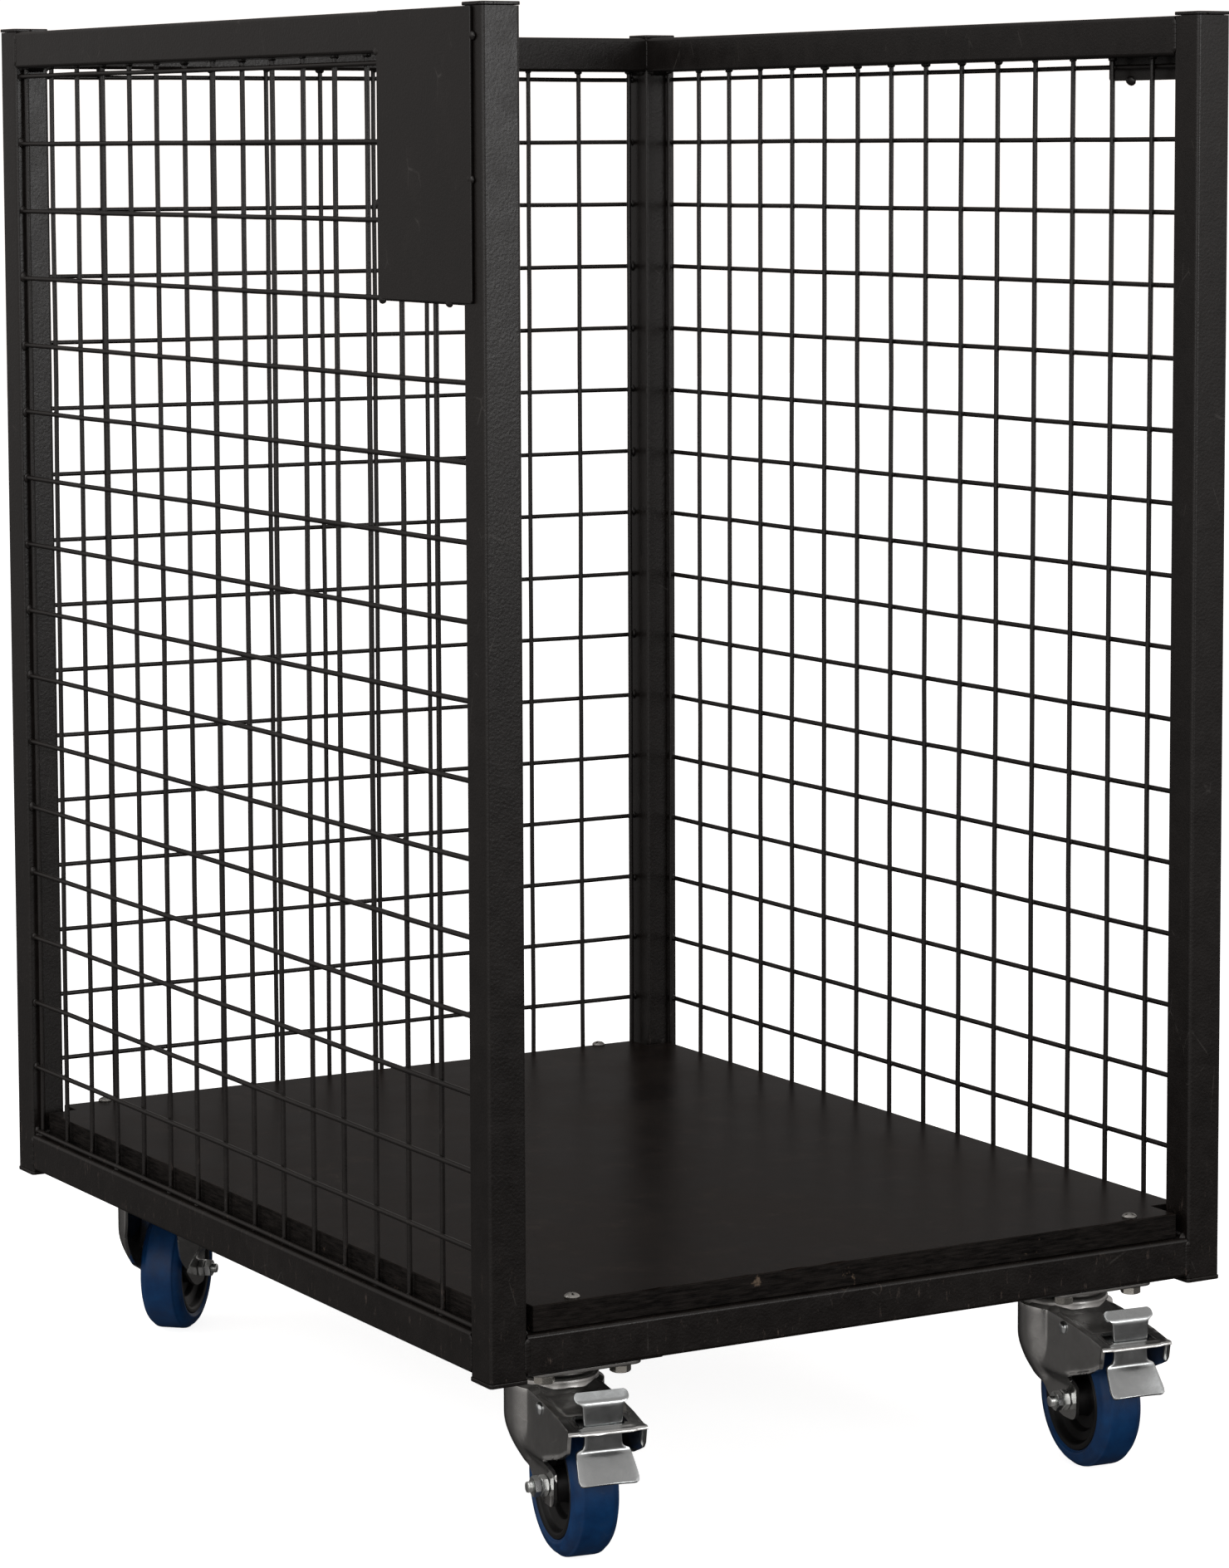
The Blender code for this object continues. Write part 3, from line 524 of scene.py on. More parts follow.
def bare_plate(node, outward, tacks):
    """One plate, with tacks at these shares of its length and height."""
    low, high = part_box(node)
    bm = bmesh.new()
    made = block(bm, low, high)
    round_edges(bm, edges_of(made, 0), sheet_corner, 4)
    round_edges(bm, turned_edges(bm.edges, 0.8), plate_rim, 2)
    place_piece(bm, node + "_sheet", "cart", sheet_coat, (node,), 50.0, True)
    lumps = bmesh.new()
    face, wall = (low.x, high.x) if outward < 0 else (high.x, low.x)
    for y, z in tacks:
        rim_place = (low.y + y * (high.y - low.y), low.z + z * (high.z - low.z))
        spot = Vector((wall + 0.3 * (face - wall), *rim_place))
        weld_spatter(lumps, spot, dice.uniform(0.0034, 0.0046), (0.45, 1.35, 0.9))
    place_piece(lumps, node + "_tacks", "cart", black_frame_coat, (), 75.0)


left_tacks = ((0.0, 0.9), (1.0, 0.86), (0.25, 0.0), (0.97, 0.0), (0.02, 0.42), (1.0, 0.33))
right_tacks = ((0.0, 0.7), (1.0, 0.7), (0.2, 0.0), (0.8, 0.0))
bare_plate("name_plate_left", -1, left_tacks)
bare_plate("tag_plate_right", 1, right_tacks)


# The floor is a board of 18 mm birch plywood, notched round the posts and faced with a dark brown phenolic
# film. Its edges are painted black, so that the plies show as fine lines, with raw wood where the front
# edge is chipped.

board_low, board_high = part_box("floor_board")
plies = 13
notch_clearance = 0.007
board_rim = 0.0007
chip_places = 90
chip_depth, chip_drop = 0.0016, 0.0013


def board_finish():
    """Film on the flat faces, and painted plies on the edges, told apart by how steep the surface is."""
    paint, paint_ridge = (0.0026, 0.0023, 0.0022), (0.0145, 0.0125, 0.0115)
    glue_line, raw_wood = (0.0015, 0.0013, 0.0012), (0.17, 0.125, 0.09)
    film_dark, film_brown = (0.0030, 0.0019, 0.0016), (0.0054, 0.0032, 0.0026)
    scratch, rub_mark, grey_dust = (0.07, 0.055, 0.045), (0.014, 0.0095, 0.0078), (0.060, 0.048, 0.040)
    film_roughness, edge_roughness = 0.30, 0.55
    made, tree, shader, place = new_finish("faced_plywood", {"Specular IOR Level": 0.04})
    wear = worn(tree, place, 1.2, 0.16, 0.6)
    above = sum_node(tree, "SUBTRACT", separated(tree, place)[2], board_low.z)
    stacked = sum_node(tree, "MULTIPLY", above, plies / (board_high.z - board_low.z))
    line = spread(tree, sum_node(tree, "PINGPONG", stacked, 1.0), 0.0, 0.16, 1.0, 0.0)
    drawn_out = shader_node(tree, "Mapping", Vector=place, Scale=(0.16, 0.16, 1.0))
    grain = shader_node(tree, "TexNoise", Vector=drawn_out, Scale=420.0, Detail=5.0, Roughness=0.65)
    fibre = spread(tree, grain, 0.35, 0.65)
    edge = mixed_colour(tree, fibre, paint, paint_ridge)
    edge = mixed_colour(tree, sum_node(tree, "MULTIPLY", line, 0.8), edge, glue_line)
    patches = shader_node(tree, "TexNoise", Vector=place, Scale=38.0, Detail=6.0, Roughness=0.7)
    thin_paint = sum_node(tree, "MULTIPLY", spread(tree, patches, 0.65, 0.71), 0.7)
    edge = mixed_colour(tree, thin_paint, edge, raw_wood)
    film = mixed_colour(tree, fibre, film_dark, film_brown)
    film = mixed_colour(tree, wear["Scratches"], film, scratch)
    film = mixed_colour(tree, wear["Rubbing"], film, rub_mark)
    upright = sum_node(tree, "ABSOLUTE", separated(tree, surface_normal(tree))[2], 0.0)
    flat = spread(tree, upright, 0.55, 0.85)
    body = mixed_colour(tree, wear["Dust"], mixed_colour(tree, flat, edge, film), grey_dust)
    tree.links.new(body, shader.inputs["Base Color"])
    rough = tree.nodes.new("ShaderNodeMix")
    join_socket(tree, rough.inputs[0], flat)
    rough.inputs[2].default_value = edge_roughness
    join_socket(tree, rough.inputs[3], scaled_sum(tree, wear["Dust"], 0.5, film_roughness))
    tree.links.new(rough.outputs[0], shader.inputs["Roughness"])
    on_edges = sum_node(tree, "SUBTRACT", 1.0, flat)
    ridges = sum_node(tree, "MULTIPLY", on_edges, sum_node(tree, "SUBTRACT", fibre, line))
    relief = sum_node(tree, "ADD", sum_node(tree, "MULTIPLY", wear["Grit"], 0.10), ridges)
    bumped(tree, shader, relief, 0.35, 0.0006)
    return made


def slice_through(bm, point, normal):
    bmesh.ops.bisect_plane(
        bm, geom=bm.verts[:] + bm.edges[:] + bm.faces[:], dist=0.00001, plane_co=point, plane_no=normal,
    )


def floor_board():
    """The board's outline is pulled up to its thickness, its rims are broken, its front edge is chipped."""
    post_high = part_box("post_front_left")[1]
    left, right = post_high.x + notch_clearance, -post_high.x - notch_clearance
    front, back = post_high.y + notch_clearance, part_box("post_back_left")[0].y - notch_clearance
    outline = [
        (left, board_low.y), (right, board_low.y), (right, front), (board_high.x, front),
        (board_high.x, back), (right, back), (right, board_high.y), (left, board_high.y),
        (left, back), (board_low.x, back), (board_low.x, front), (left, front),
    ]
    bm = bmesh.new()
    sheet = bm.faces.new([bm.verts.new((x, y, board_low.z)) for x, y in outline])
    raised = bmesh.ops.extrude_face_region(bm, geom=[sheet])["geom"]
    lifted = [item for item in raised if isinstance(item, bmesh.types.BMVert)]
    bmesh.ops.translate(bm, vec=(0.0, 0.0, board_high.z - board_low.z), verts=lifted)
    bmesh.ops.recalc_face_normals(bm, faces=bm.faces)
    round_edges(bm, bm.edges[:], board_rim, 2)
    for x in sorted(dice.uniform(left + 0.004, right - 0.004) for _ in range(chip_places)):
        slice_through(bm, (x, 0.0, 0.0), (1.0, 0.0, 0.0))
    slice_through(bm, (0.0, 0.0, board_high.z - 0.0022), (0.0, 0.0, 1.0))
    slice_through(bm, (0.0, board_low.y + 0.0026, 0.0), (0.0, 1.0, 0.0))
    for vert in bm.verts:
        if vert.co.y > board_low.y + 0.0009 or vert.co.z < board_high.z - 0.0009:
            continue
        bite = max(0.0, noise.noise(Vector((vert.co.x * 55.0, 3.1, 0.0))) - 0.18) * 3.2
        bite = min(bite, 1.0) + 0.08 * abs(noise.noise(Vector((vert.co.x * 300.0, 7.7, 0.0))))
        vert.co.y += chip_depth * bite
        vert.co.z -= chip_drop * bite
    faced = board_finish()
    place_piece(bm, "floor_board_sheet", "cart", faced, ("floor_board",), 50.0, True)


floor_board()


# Four pan head wood screws hold the board down to the front and back rails. They are turned from steel
# wire, with a cross pressed into the head, and zinc plated before they were driven.

cross_depth = 0.0013


def plated_steel(name, colour, gloss, dust, rubbing, dirt=(0.10, 0.09, 0.08), scale=2.0, cloudy=0.30):
    """Zinc plated steel: a grey metal with soft clouds, fine scratches and dirt in patches."""
    made, tree, shader, place = new_finish(name, {"Specular IOR Level": 0.5})
    wear = worn(tree, place, scale, dust, rubbing)
    clouds = shader_node(
        tree, "TexNoise", Vector=place, Scale=95.0, Detail=6.0, Roughness=0.65, Distortion=0.4,
    )
    dark = [part * (1.0 - cloudy) for part in colour]
    bright = [min(part * 1.3, 0.9) for part in colour]
    base = mixed_colour(tree, spread(tree, clouds, 0.3, 0.72), dark, colour)
    base = mixed_colour(tree, wear["Scratches"], base, bright)
    base = mixed_colour(tree, wear["Dust"], base, dirt)
    tree.links.new(base, shader.inputs["Base Color"])
    tree.links.new(spread(tree, wear["Dust"], 0.0, 0.5, 1.0, 0.35), shader.inputs["Metallic"])
    dull = scaled_sum(tree, wear["Dust"], 0.4, spread(tree, clouds, 0.3, 0.7, gloss + 0.06, gloss - 0.05))
    tree.links.new(dull, shader.inputs["Roughness"])
    bumped(tree, shader, scaled_sum(tree, wear["Grit"], 0.4, clouds), 0.07, 0.0006)
    return made


screw_steel = plated_steel("screw_steel", (0.42, 0.41, 0.39), gloss=0.34, dust=0.4, rubbing=0.5)


def point_outwards(bm, verts):
    faces = dict.fromkeys(face for vert in verts for face in vert.link_faces)
    bmesh.ops.recalc_face_normals(bm, faces=list(faces))


def turned(bm, profile, steps, matrix=None, closed=False):
    """Adds a part turned about Z from a side view of (radius, height) points, closed over its doubles."""
    before = set(bm.verts)
    chain = [bm.verts.new((radius, 0.0, height)) for radius, height in profile]
    pairs = list(zip(chain, chain[1:])) + ([(chain[-1], chain[0])] if closed else [])
    edges = [bm.edges.new(pair) for pair in pairs]
    bmesh.ops.spin(
        bm, geom=chain + edges, cent=(0, 0, 0), axis=(0, 0, 1), dvec=(0, 0, 0), angle=math.tau, steps=steps,
        use_merge=True, use_duplicate=False,
    )
    bmesh.ops.remove_doubles(bm, verts=new_verts(bm, before), dist=0.000002)
    made = new_verts(bm, before)
    point_outwards(bm, made)
    if matrix:
        bmesh.ops.transform(bm, matrix=matrix, verts=made)


def floor_screw(node):
    """A screw with a domed head, into which the four arms of a cross are sunk."""
    low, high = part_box(node)
    middle = (low + high) / 2
    seat = board_high.z + 0.0001
    top = high.z
    bm = bmesh.new()
    turned(bm, [
        (0.0, top - 0.0001), (0.0018, top), (0.0030, top - 0.0003), (0.0043, top - 0.0009),
        (0.0052, top - 0.0017), (0.0055, top - 0.0023), (0.0054, seat + 0.0001), (0.0050, seat),
        (0.0022, seat), (0.0022, low.z + 0.004), (0.0, low.z),
    ], 24)
    turn = dice.uniform(0.0, 1.5)
    arms = []
    for face in bm.faces:
        spot = face.calc_center_median()
        if spot.z > top - 0.0007 and abs(math.sin(2 * math.atan2(spot.y, spot.x))) < 0.5:
            arms.append(face)
    sunk = bmesh.ops.extrude_face_region(bm, geom=arms)["geom"]
    deep = [item for item in sunk if isinstance(item, bmesh.types.BMVert)]
    bmesh.ops.translate(bm, vec=(0.0, 0.0, -cross_depth), verts=deep)
    bmesh.ops.scale(bm, vec=(0.8, 0.8, 1.0), verts=deep)
    bmesh.ops.delete(bm, geom=arms, context="FACES_ONLY")
    bmesh.ops.rotate(bm, cent=(0, 0, 0), matrix=Matrix.Rotation(turn, 3, "Z"), verts=bm.verts)
    bmesh.ops.translate(bm, vec=(middle.x, middle.y, 0.0), verts=bm.verts)
    place_piece(bm, node + "_pan_head", "cart", screw_steel, (node,))


for where in ("front_left", "front_right", "back_left", "back_right"):
    floor_screw("floor_screw_" + where)


# A plate of 4 mm steel under each corner, sheared to a notched square and welded across two rails, takes
# the castor's bolts. It is coated in black with the frame, and its rims are broken by the coating.

def corner_plate(node):
    """The CAD plate's own shape, made whole again from its triangles, with its outer rims broken."""
    bm = bmesh.new()
    bm.from_mesh(frame["nodes"][node].data)
    bmesh.ops.remove_doubles(bm, verts=bm.verts, dist=0.00001)
    bmesh.ops.dissolve_limit(
        bm, angle_limit=0.02, use_dissolve_boundaries=False, verts=bm.verts, edges=bm.edges, delimit=set(),
    )
    outer = [edge for edge in bm.edges if edge.is_manifold and edge.calc_length() > 0.004]
    round_edges(bm, turned_edges(outer, 1.2), plate_rim, 2)
    place_piece(bm, node + "_plate", "cart", black_frame_coat, (node,), 50.0, True)


for where in post_places:
    corner_plate("corner_plate_" + where)


# Each castor's top plate is pressed from 3 mm steel and bolted up into the corner plate by four M8 hex
# bolts. The upper race is pressed and riveted to it by the kingpin, and all of it is zinc plated.

plate_level = 0.1305
crown_level = 0.1145
top_plate_half = Vector((0.0425, 0.0525, 0.0))
top_plate_thickness = 0.003
top_plate_corner = 0.008
top_plate_rim = 0.0007
bolt_places = ((-0.03, -0.04), (0.03, -0.04), (0.03, 0.04), (-0.03, 0.04))
m8_across_flats = 0.013
washer_foot, bolt_foot = plate_level - 0.0016, plate_level - 0.0069
castor_zinc = plated_steel("castor_plate_zinc", (0.36, 0.355, 0.345), gloss=0.36, dust=0.30, rubbing=0.6)
bolt_zinc = plated_steel("bolt_zinc", (0.60, 0.58, 0.53), gloss=0.24, dust=0.3, rubbing=0.5)
joints = {joint["name"]: joint for joint in frame["joints"]}
swivels = {where: Vector(joints["swivel_" + where]["pos_m"]) for where in post_places}


def turned_rows(bm, profile, sides):
    """Adds a stack of rings, one for each (radius, height), joined by faces and closed at both ends."""
    rings = []
    for radius, height in profile:
        rings.append(bmesh.ops.create_circle(
            bm, cap_ends=False, radius=radius, segments=sides, matrix=Matrix.Translation((0.0, 0.0, height)),
        )["verts"])
    for low, high in zip(rings, rings[1:]):
        bmesh.ops.bridge_loops(bm, edges=edges_of(low) + edges_of(high))
    for ring in (rings[0], rings[-1]):
        bmesh.ops.contextual_create(bm, geom=[edge for edge in edges_of(ring) if edge.is_boundary])
    return rings


def hex_block(bm, across_flats, start, end, cone_start, cone_end, matrix):
    """Adds a hexagonal head or nut along Z, its corners turned off in a cone at the ends that ask for it."""
    before = set(bm.verts)
    flat = across_flats / 2
    core, cone, slope = flat * 0.05, flat * 0.93, 0.55
    rows = [(core, start), (None, start), (None, (start + end) / 2), (None, end), (core, end)]
    if cone_end:
        rows.insert(4, (cone, end))
    if cone_start:
        rows.insert(1, (cone, start))
    rings = turned_rows(bm, [(radius or flat, level) for radius, level in rows], 24)
    for (radius, level), ring in zip(rows, rings):
        for vert in ring if radius is None else ():
            angle = math.atan2(vert.co.y, vert.co.x) % (math.pi / 3)
            reach = flat / math.cos(angle - math.pi / 6)
            vert.co.x *= reach / flat
            vert.co.y *= reach / flat
            fall = math.copysign((reach - cone) * slope, end - start)
            if level == start and cone_start:
                vert.co.z += fall
            if level == end and cone_end:
                vert.co.z -= fall
    fresh = new_verts(bm, before)
    point_outwards(bm, fresh)
    bmesh.ops.transform(bm, matrix=matrix, verts=fresh)


def castor_top(where):
    """The top plate, its upper race with the rolled dust lip, the kingpin's rivet head and four bolts."""
    node = "castor_plate_" + where
    axis = Vector((swivels[where].x, swivels[where].y, 0.0))
    spot = Matrix.Translation(axis)
    base, crown = plate_level, crown_level
    bm = bmesh.new()
    low = axis - top_plate_half + Vector((0.0, 0.0, base))
    made = block(bm, low, low + 2 * top_plate_half + Vector((0.0, 0.0, top_plate_thickness)))
    round_edges(bm, edges_of(made, 2), top_plate_corner, 8)
    round_edges(bm, turned_edges(bm.edges, 1.2), top_plate_rim, 3)
    turned(bm, [
        (0.0064, base - 0.0094), (0.0240, base - 0.0094), (0.0276, base - 0.0090), (0.0292, base - 0.0080),
        (0.0298, base - 0.0062), (0.0299, base - 0.0030), (0.0300, base + 0.0010), (0.0064, base + 0.0010),
    ], 64, spot, True)
    place_piece(bm, node + "_pressing", "cart", castor_zinc, (node,), 50.0, True)
    pin = bmesh.new()
    turned(pin, [
        (0.0, crown - 0.0074), (0.0040, crown - 0.0072), (0.0078, crown - 0.0062),
        (0.0096, crown - 0.0048), (0.0100, crown - 0.0036), (0.0098, crown - 0.0031),
        (0.0060, crown - 0.0031), (0.0060, base + 0.001), (0.0, base + 0.001),
    ], 40, spot)
    place_piece(pin, "kingpin_" + where, "cart", bolt_zinc)
    bolts = bmesh.new()
    for x, y in bolt_places:
        spin = Matrix.Rotation(dice.uniform(0.0, 1.0), 4, "Z")
        turn = Matrix.Translation(axis + Vector((x, y, 0.0))) @ spin
        turned(bolts, [
            (0.0, base - 0.0001), (0.0082, base - 0.0001), (0.0084, base - 0.0008), (0.0081, washer_foot),
            (0.0, washer_foot),
        ], 32, turn)
        hex_block(bolts, m8_across_flats, washer_foot, bolt_foot, False, True, turn)
    place_piece(bolts, "castor_bolts_" + where, "cart", bolt_zinc, (), 30.0)


for where in post_places:
    castor_top(where)


# The forks are pressed from 2.5 mm steel sheet: a domed shoulder round the swivel, sides that step in to
# two narrow legs, and on the braked pair a long hood with a rolled lip. The lower race is pressed in, and
# all is zinc plated.

fork_zinc = plated_steel("fork_zinc", (0.60, 0.60, 0.59), 0.20, 0.20, 0.7, (0.085, 0.075, 0.068), 1.6, 0.30)
race_zinc = plated_steel("race_zinc", (0.40, 0.395, 0.385), 0.32, 0.30, 0.6, (0.06, 0.05, 0.042), 2.6, 0.35)
wheel_radius = 0.05
trail = 0.038
pressed_sheet = 0.0025
leg_half = 0.0198
shoulder_half, shoulder_foot, shoulder_rise = 0.035, 0.0545, 0.0375
hood_half, hood_foot, hood_rise = 0.0275, 0.059, 0.0135
soft_fold = 0.0016
roof_line = (
    (-0.028, 0.1115), (-0.013, 0.1145), (0.013, 0.1145), (0.036, 0.1132), (0.06, 0.1110), (0.082, 0.1082),
    (0.104, 0.104),
)
hood_edge = (roof_line[-1], (0.101, 0.0885), (0.0855, 0.0815), (0.053, 0.072))
roof_corner = 0.0048
roof_dish, race_seat = 0.0017, 0.0035
lip_flare, lip_width = 0.0012, 0.0036
slot_back, slot_front, slot_half = 0.0790, 0.0982, 0.0180
slot_corner, slot_rim, slot_rim_rise = 0.0030, 0.0045, 0.0013


def ease(value):
    value = min(max(value, 0.0), 1.0)
    return value * value * (3.0 - 2.0 * value)


def shoulder_radius(z):
    """The round shoulder about the swivel draws in like a bowl, down to the width of the legs."""
    share = min(max((z - shoulder_foot) / shoulder_rise, 0.0), 1.0)
    return leg_half + (shoulder_half - leg_half) * math.sin(share * math.pi / 2)


def fork_half_width(x, z):
    """Half the fork's width at a place on its side: the round shoulder or the hood, softly folded between."""
    shoulder = math.sqrt(max(shoulder_radius(z) ** 2 - x ** 2, 0.0))
    if x < 0.0:
        return shoulder
    hood = leg_half + (hood_half - leg_half) * ease((z - hood_foot) / hood_rise)
    share = min(max(0.5 + 0.5 * (shoulder - hood) / soft_fold, 0.0), 1.0)
    return hood + (shoulder - hood) * share + 0.5 * soft_fold * share * (1.0 - share)


def fork_side_view(braked):
    """The fork from the side: its top edge from the leading end, then the corners, each with its radius."""
    lobe = [
        (0.0517, 0.065, 0.003), (0.0517, 0.0365, 0.0075), (0.0320, 0.0365, 0.004), (0.0203, 0.0405, 0.007),
    ]
    leading = [
        (0.0, 0.057, 0.005), (-0.009, 0.061, 0.004), (-0.018, 0.0685, 0.004), (-0.024, 0.0785, 0.005),
        (-0.0275, 0.092, 0.006),
    ]
    if braked:
        top = list(roof_line)
        trailing = [(*corner, radius) for corner, radius in zip(hood_edge[1:], (0.004, 0.006, 0.005))]
    else:
        top = [*roof_line[:3], (0.024, 0.1139), (0.034, 0.1133)]
        trailing = [(0.044, 0.095, 0.010), (0.049, 0.080, 0.008)]
    return top, trailing + lobe + leading


def roof_level(x):
    """The height of the fork's top at a place along it, on the long hood and the short one alike."""
    for (ax, az), (bx, bz) in zip(roof_line, roof_line[1:]):
        if x <= bx + 0.0001:
            return az + (bz - az) * (x - ax) / (bx - ax)
    return roof_line[-1][1]


def roof_height(spot, inset):
    """The roof is dished along the hood, less so at its end, and rises in a cone to the seat of the race."""
    dish = ease((spot.x - 0.018) / 0.014) * (1.0 - 0.6 * ease((spot.x - 0.0965) / 0.005))
    deep = ease((inset - 0.0045) / 0.0045) if inset else 1.0
    rise = 1.0 - ease((spot.xy.length - 0.0305) / 0.0085) if spot.x > 0.0 else 0.0
    return roof_level(spot.x) - roof_dish * dish * deep + race_seat * rise


def lip_distance(x, z):
    """How far a place on the hood's side is from its lower edge."""
    nearest = 1.0
    for start, end in zip(hood_edge, hood_edge[1:]):
        run, spot = Vector(end) - Vector(start), Vector((x, z)) - Vector(start)
        share = min(max(spot.dot(run) / run.length_squared, 0.0), 1.0)
        nearest = min(nearest, (spot - run * share).length)
    return nearest


def pull_edges(bm, edges):
    """Pulls a row of edges out into a row of faces. Gives the new vertices, and the edges between them."""
    pulled = bmesh.ops.extrude_edge_only(bm, edges=edges)["geom"]
    verts = [item for item in pulled if isinstance(item, bmesh.types.BMVert)]
    span = set(verts)
    outer = [item for item in pulled if isinstance(item, bmesh.types.BMEdge) and span.issuperset(item.verts)]
    return verts, outer


def slice_fork_side(bm, braked):
    """Cuts the flat side into small faces, so that it can be bent, and narrow ones along its fold and lip."""
    for number in range(20):
        slice_through(bm, (0.0, 0.0, shoulder_foot + 0.0029 * number), (0.0, 0.0, 1.0))
    fold_cuts = [0.0182 + soft_fold * number for number in range(5)]
    for x in [0.0052 * number for number in range(-6, 20)] + fold_cuts:
        slice_through(bm, (x, 0.0, 0.0), (1.0, 0.0, 0.0))
    if not braked:
        return
    for (ax, az), (bx, bz) in zip(hood_edge, hood_edge[1:]):
        run = Vector((bx - ax, 0.0, bz - az)).normalized()
        inward = Vector((run.z, 0.0, -run.x))
        for depth in (0.0012, 0.0024, 0.0038):
            slice_through(bm, Vector((ax, 0.0, az)) + inward * depth, inward)


def cut_brake_slot(bm):
    """Cuts half of the slot for the brake pedal out of the roof, with a rim that stands up round it."""
    steps = (slot_rim, 0.0028, 0.0014, 0.0, -slot_corner)
    for step in steps:
        slice_through(bm, (0.0, -slot_half - step, 0.0), (0.0, 1.0, 0.0))
    for x in [slot_back - step for step in steps] + [slot_front + step for step in steps[:0:-1]]:
        slice_through(bm, (x, 0.0, 0.0), (1.0, 0.0, 0.0))
    middle, reach = (slot_back + slot_front) / 2, (slot_front - slot_back) / 2
    slot = []
    for face in bm.faces:
        spot = face.calc_center_median()
        along, across = abs(spot.x - middle), -spot.y
        in_corner = along > reach - slot_corner and across > slot_half - slot_corner
        if along < reach and across < slot_half and spot.z > 0.10 and not in_corner:
            slot.append(face)
    bmesh.ops.delete(bm, geom=slot, context="FACES")
    for vert in bm.verts:
        away = math.hypot(max(abs(vert.co.x - middle) - reach, 0.0), max(-vert.co.y - slot_half, 0.0))
        if vert.co.z > 0.10 and vert.co.y > -0.0240:
            vert.co.z += slot_rim_rise * ease(1.0 - away / slot_rim)


def roll_front_lip(bm):
    """Turns the hood's front edge over in three short steps."""
    front = [
        edge for edge in bm.edges
        if edge.is_boundary and min(vert.co.x for vert in edge.verts) > 0.1037
        and min(vert.co.z for vert in edge.verts) > 0.1010
    ]
    for ahead, down in ((0.0007, 0.0004), (0.0006, 0.0009), (0.0001, 0.0011)):
        fresh, front = pull_edges(bm, front)
        bmesh.ops.translate(bm, vec=(ahead, 0.0, -down), verts=fresh)


def fork_pressing(braked):
    """Half of the fork is cut out flat, bent to its width, and drawn over at the top, then mirrored."""
    bm = bmesh.new()
    top, rest = fork_side_view(braked)
    corners = [bm.verts.new((x, 0.0, z)) for x, z in top]
    rounded = [bm.verts.new((x, 0.0, z)) for x, z, _ in rest]
    bm.faces.new(corners + rounded)
    for pair in zip(corners, corners[1:]):
        bm.edges.get(pair).seam = True
    for vert, (_, _, radius) in zip(rounded, rest):
        bmesh.ops.bevel(
            bm, geom=[vert], offset=radius, offset_type="OFFSET", segments=5, profile=0.5, affect="VERTICES",
            material=-1, clamp_overlap=True,
        )
    slice_fork_side(bm, braked)
    bmesh.ops.remove_doubles(bm, verts=bm.verts, dist=0.0002)
    for vert in bm.verts:
        flare = lip_flare * ease(1.0 - lip_distance(vert.co.x, vert.co.z) / lip_width) if braked else 0.0
        vert.co.y = -fork_half_width(vert.co.x, vert.co.z) - flare
    line = [edge for edge in bm.edges if edge.seam]
    for inset in (0.0062, 0.0078, 0.0096, 0.0120, None):
        fresh, line = pull_edges(bm, line)
        for vert in fresh:
            vert.co.y = inset - fork_half_width(vert.co.x, crown_level) if inset else 0.0
            vert.co.z = roof_height(vert.co, inset)
    bmesh.ops.recalc_face_normals(bm, faces=bm.faces)
    ridge = [edge for edge in bm.edges if edge.seam and len(edge.link_faces) == 2]
    round_edges(bm, ridge, roof_corner, 6)
    if braked:
        cut_brake_slot(bm)
        roll_front_lip(bm)
    bmesh.ops.mirror(
        bm, geom=bm.verts[:] + bm.edges[:] + bm.faces[:], matrix=Matrix.Identity(4), merge_dist=0.0, axis="Y",
    )
    bmesh.ops.remove_doubles(bm, verts=bm.verts, dist=0.0001)
    bmesh.ops.recalc_face_normals(bm, faces=bm.faces)
    return bm


def thicken_sheet(piece, offset, rim):
    """Gives a bent sheet its thickness and its broken rims for good, and marks its sharp edges."""
    wall = piece.modifiers.new("sheet", "SOLIDIFY")
    wall.thickness = pressed_sheet
    wall.offset = offset
    wall.use_quality_normals = True
    rims = piece.modifiers.new("rims", "BEVEL")
    rims.width = rim
    rims.segments = 3
    rims.limit_method = "ANGLE"
    rims.angle_limit = math.radians(50)
    graph = bpy.context.evaluated_depsgraph_get()
    mesh = bpy.data.meshes.new_from_object(piece.evaluated_get(graph), depsgraph=graph)
    piece.modifiers.clear()
    bm = bmesh.new()
    bm.from_mesh(mesh)
    for face in bm.faces:
        face.smooth = True
    for edge in bm.edges:
        edge.smooth = edge.calc_face_angle(0.0) < math.radians(34.0)
    bm.to_mesh(mesh)
    bm.free()
    piece.data = mesh


def castor_matrix(where):
    """From the fork's own place, with its wheel ahead along X, to the cart."""
    axis = swivels[where]
    wheel = Vector(joints["wheel_spin_" + where]["pos_m"])
    heading = math.atan2(wheel.y - axis.y, wheel.x - axis.x)
    return Matrix.Translation((axis.x, axis.y, 0.0)) @ Matrix.Rotation(heading, 4, "Z")


def castor_fork(where):
    """The fork with its sheet's thickness on the inside, and the lower race on its crown."""
    node = "fork_" + where
    matrix = castor_matrix(where)
    bm = fork_pressing(where.startswith("front"))
    bmesh.ops.transform(bm, matrix=matrix, verts=bm.verts)
    fork = place_piece(bm, node + "_pressing", node, fork_zinc, (node,))
    thicken_sheet(fork, -1.0, 0.0010)
    ring = bmesh.new()
    base = crown_level
    turned(ring, [
        (0.0070, base - 0.0004), (0.0250, base - 0.0012), (0.0318, base - 0.0012), (0.0321, base - 0.0004),
        (0.0316, base + 0.0008), (0.0314, base + 0.0030), (0.0313, base + 0.0046), (0.0306, base + 0.0056),
        (0.0292, base + 0.0060), (0.0070, base + 0.0060),
    ], 64, matrix, True)
    place_piece(ring, "lower_race_" + where, node, race_zinc, (), 40.0)


for where in post_places:
    castor_fork(where)


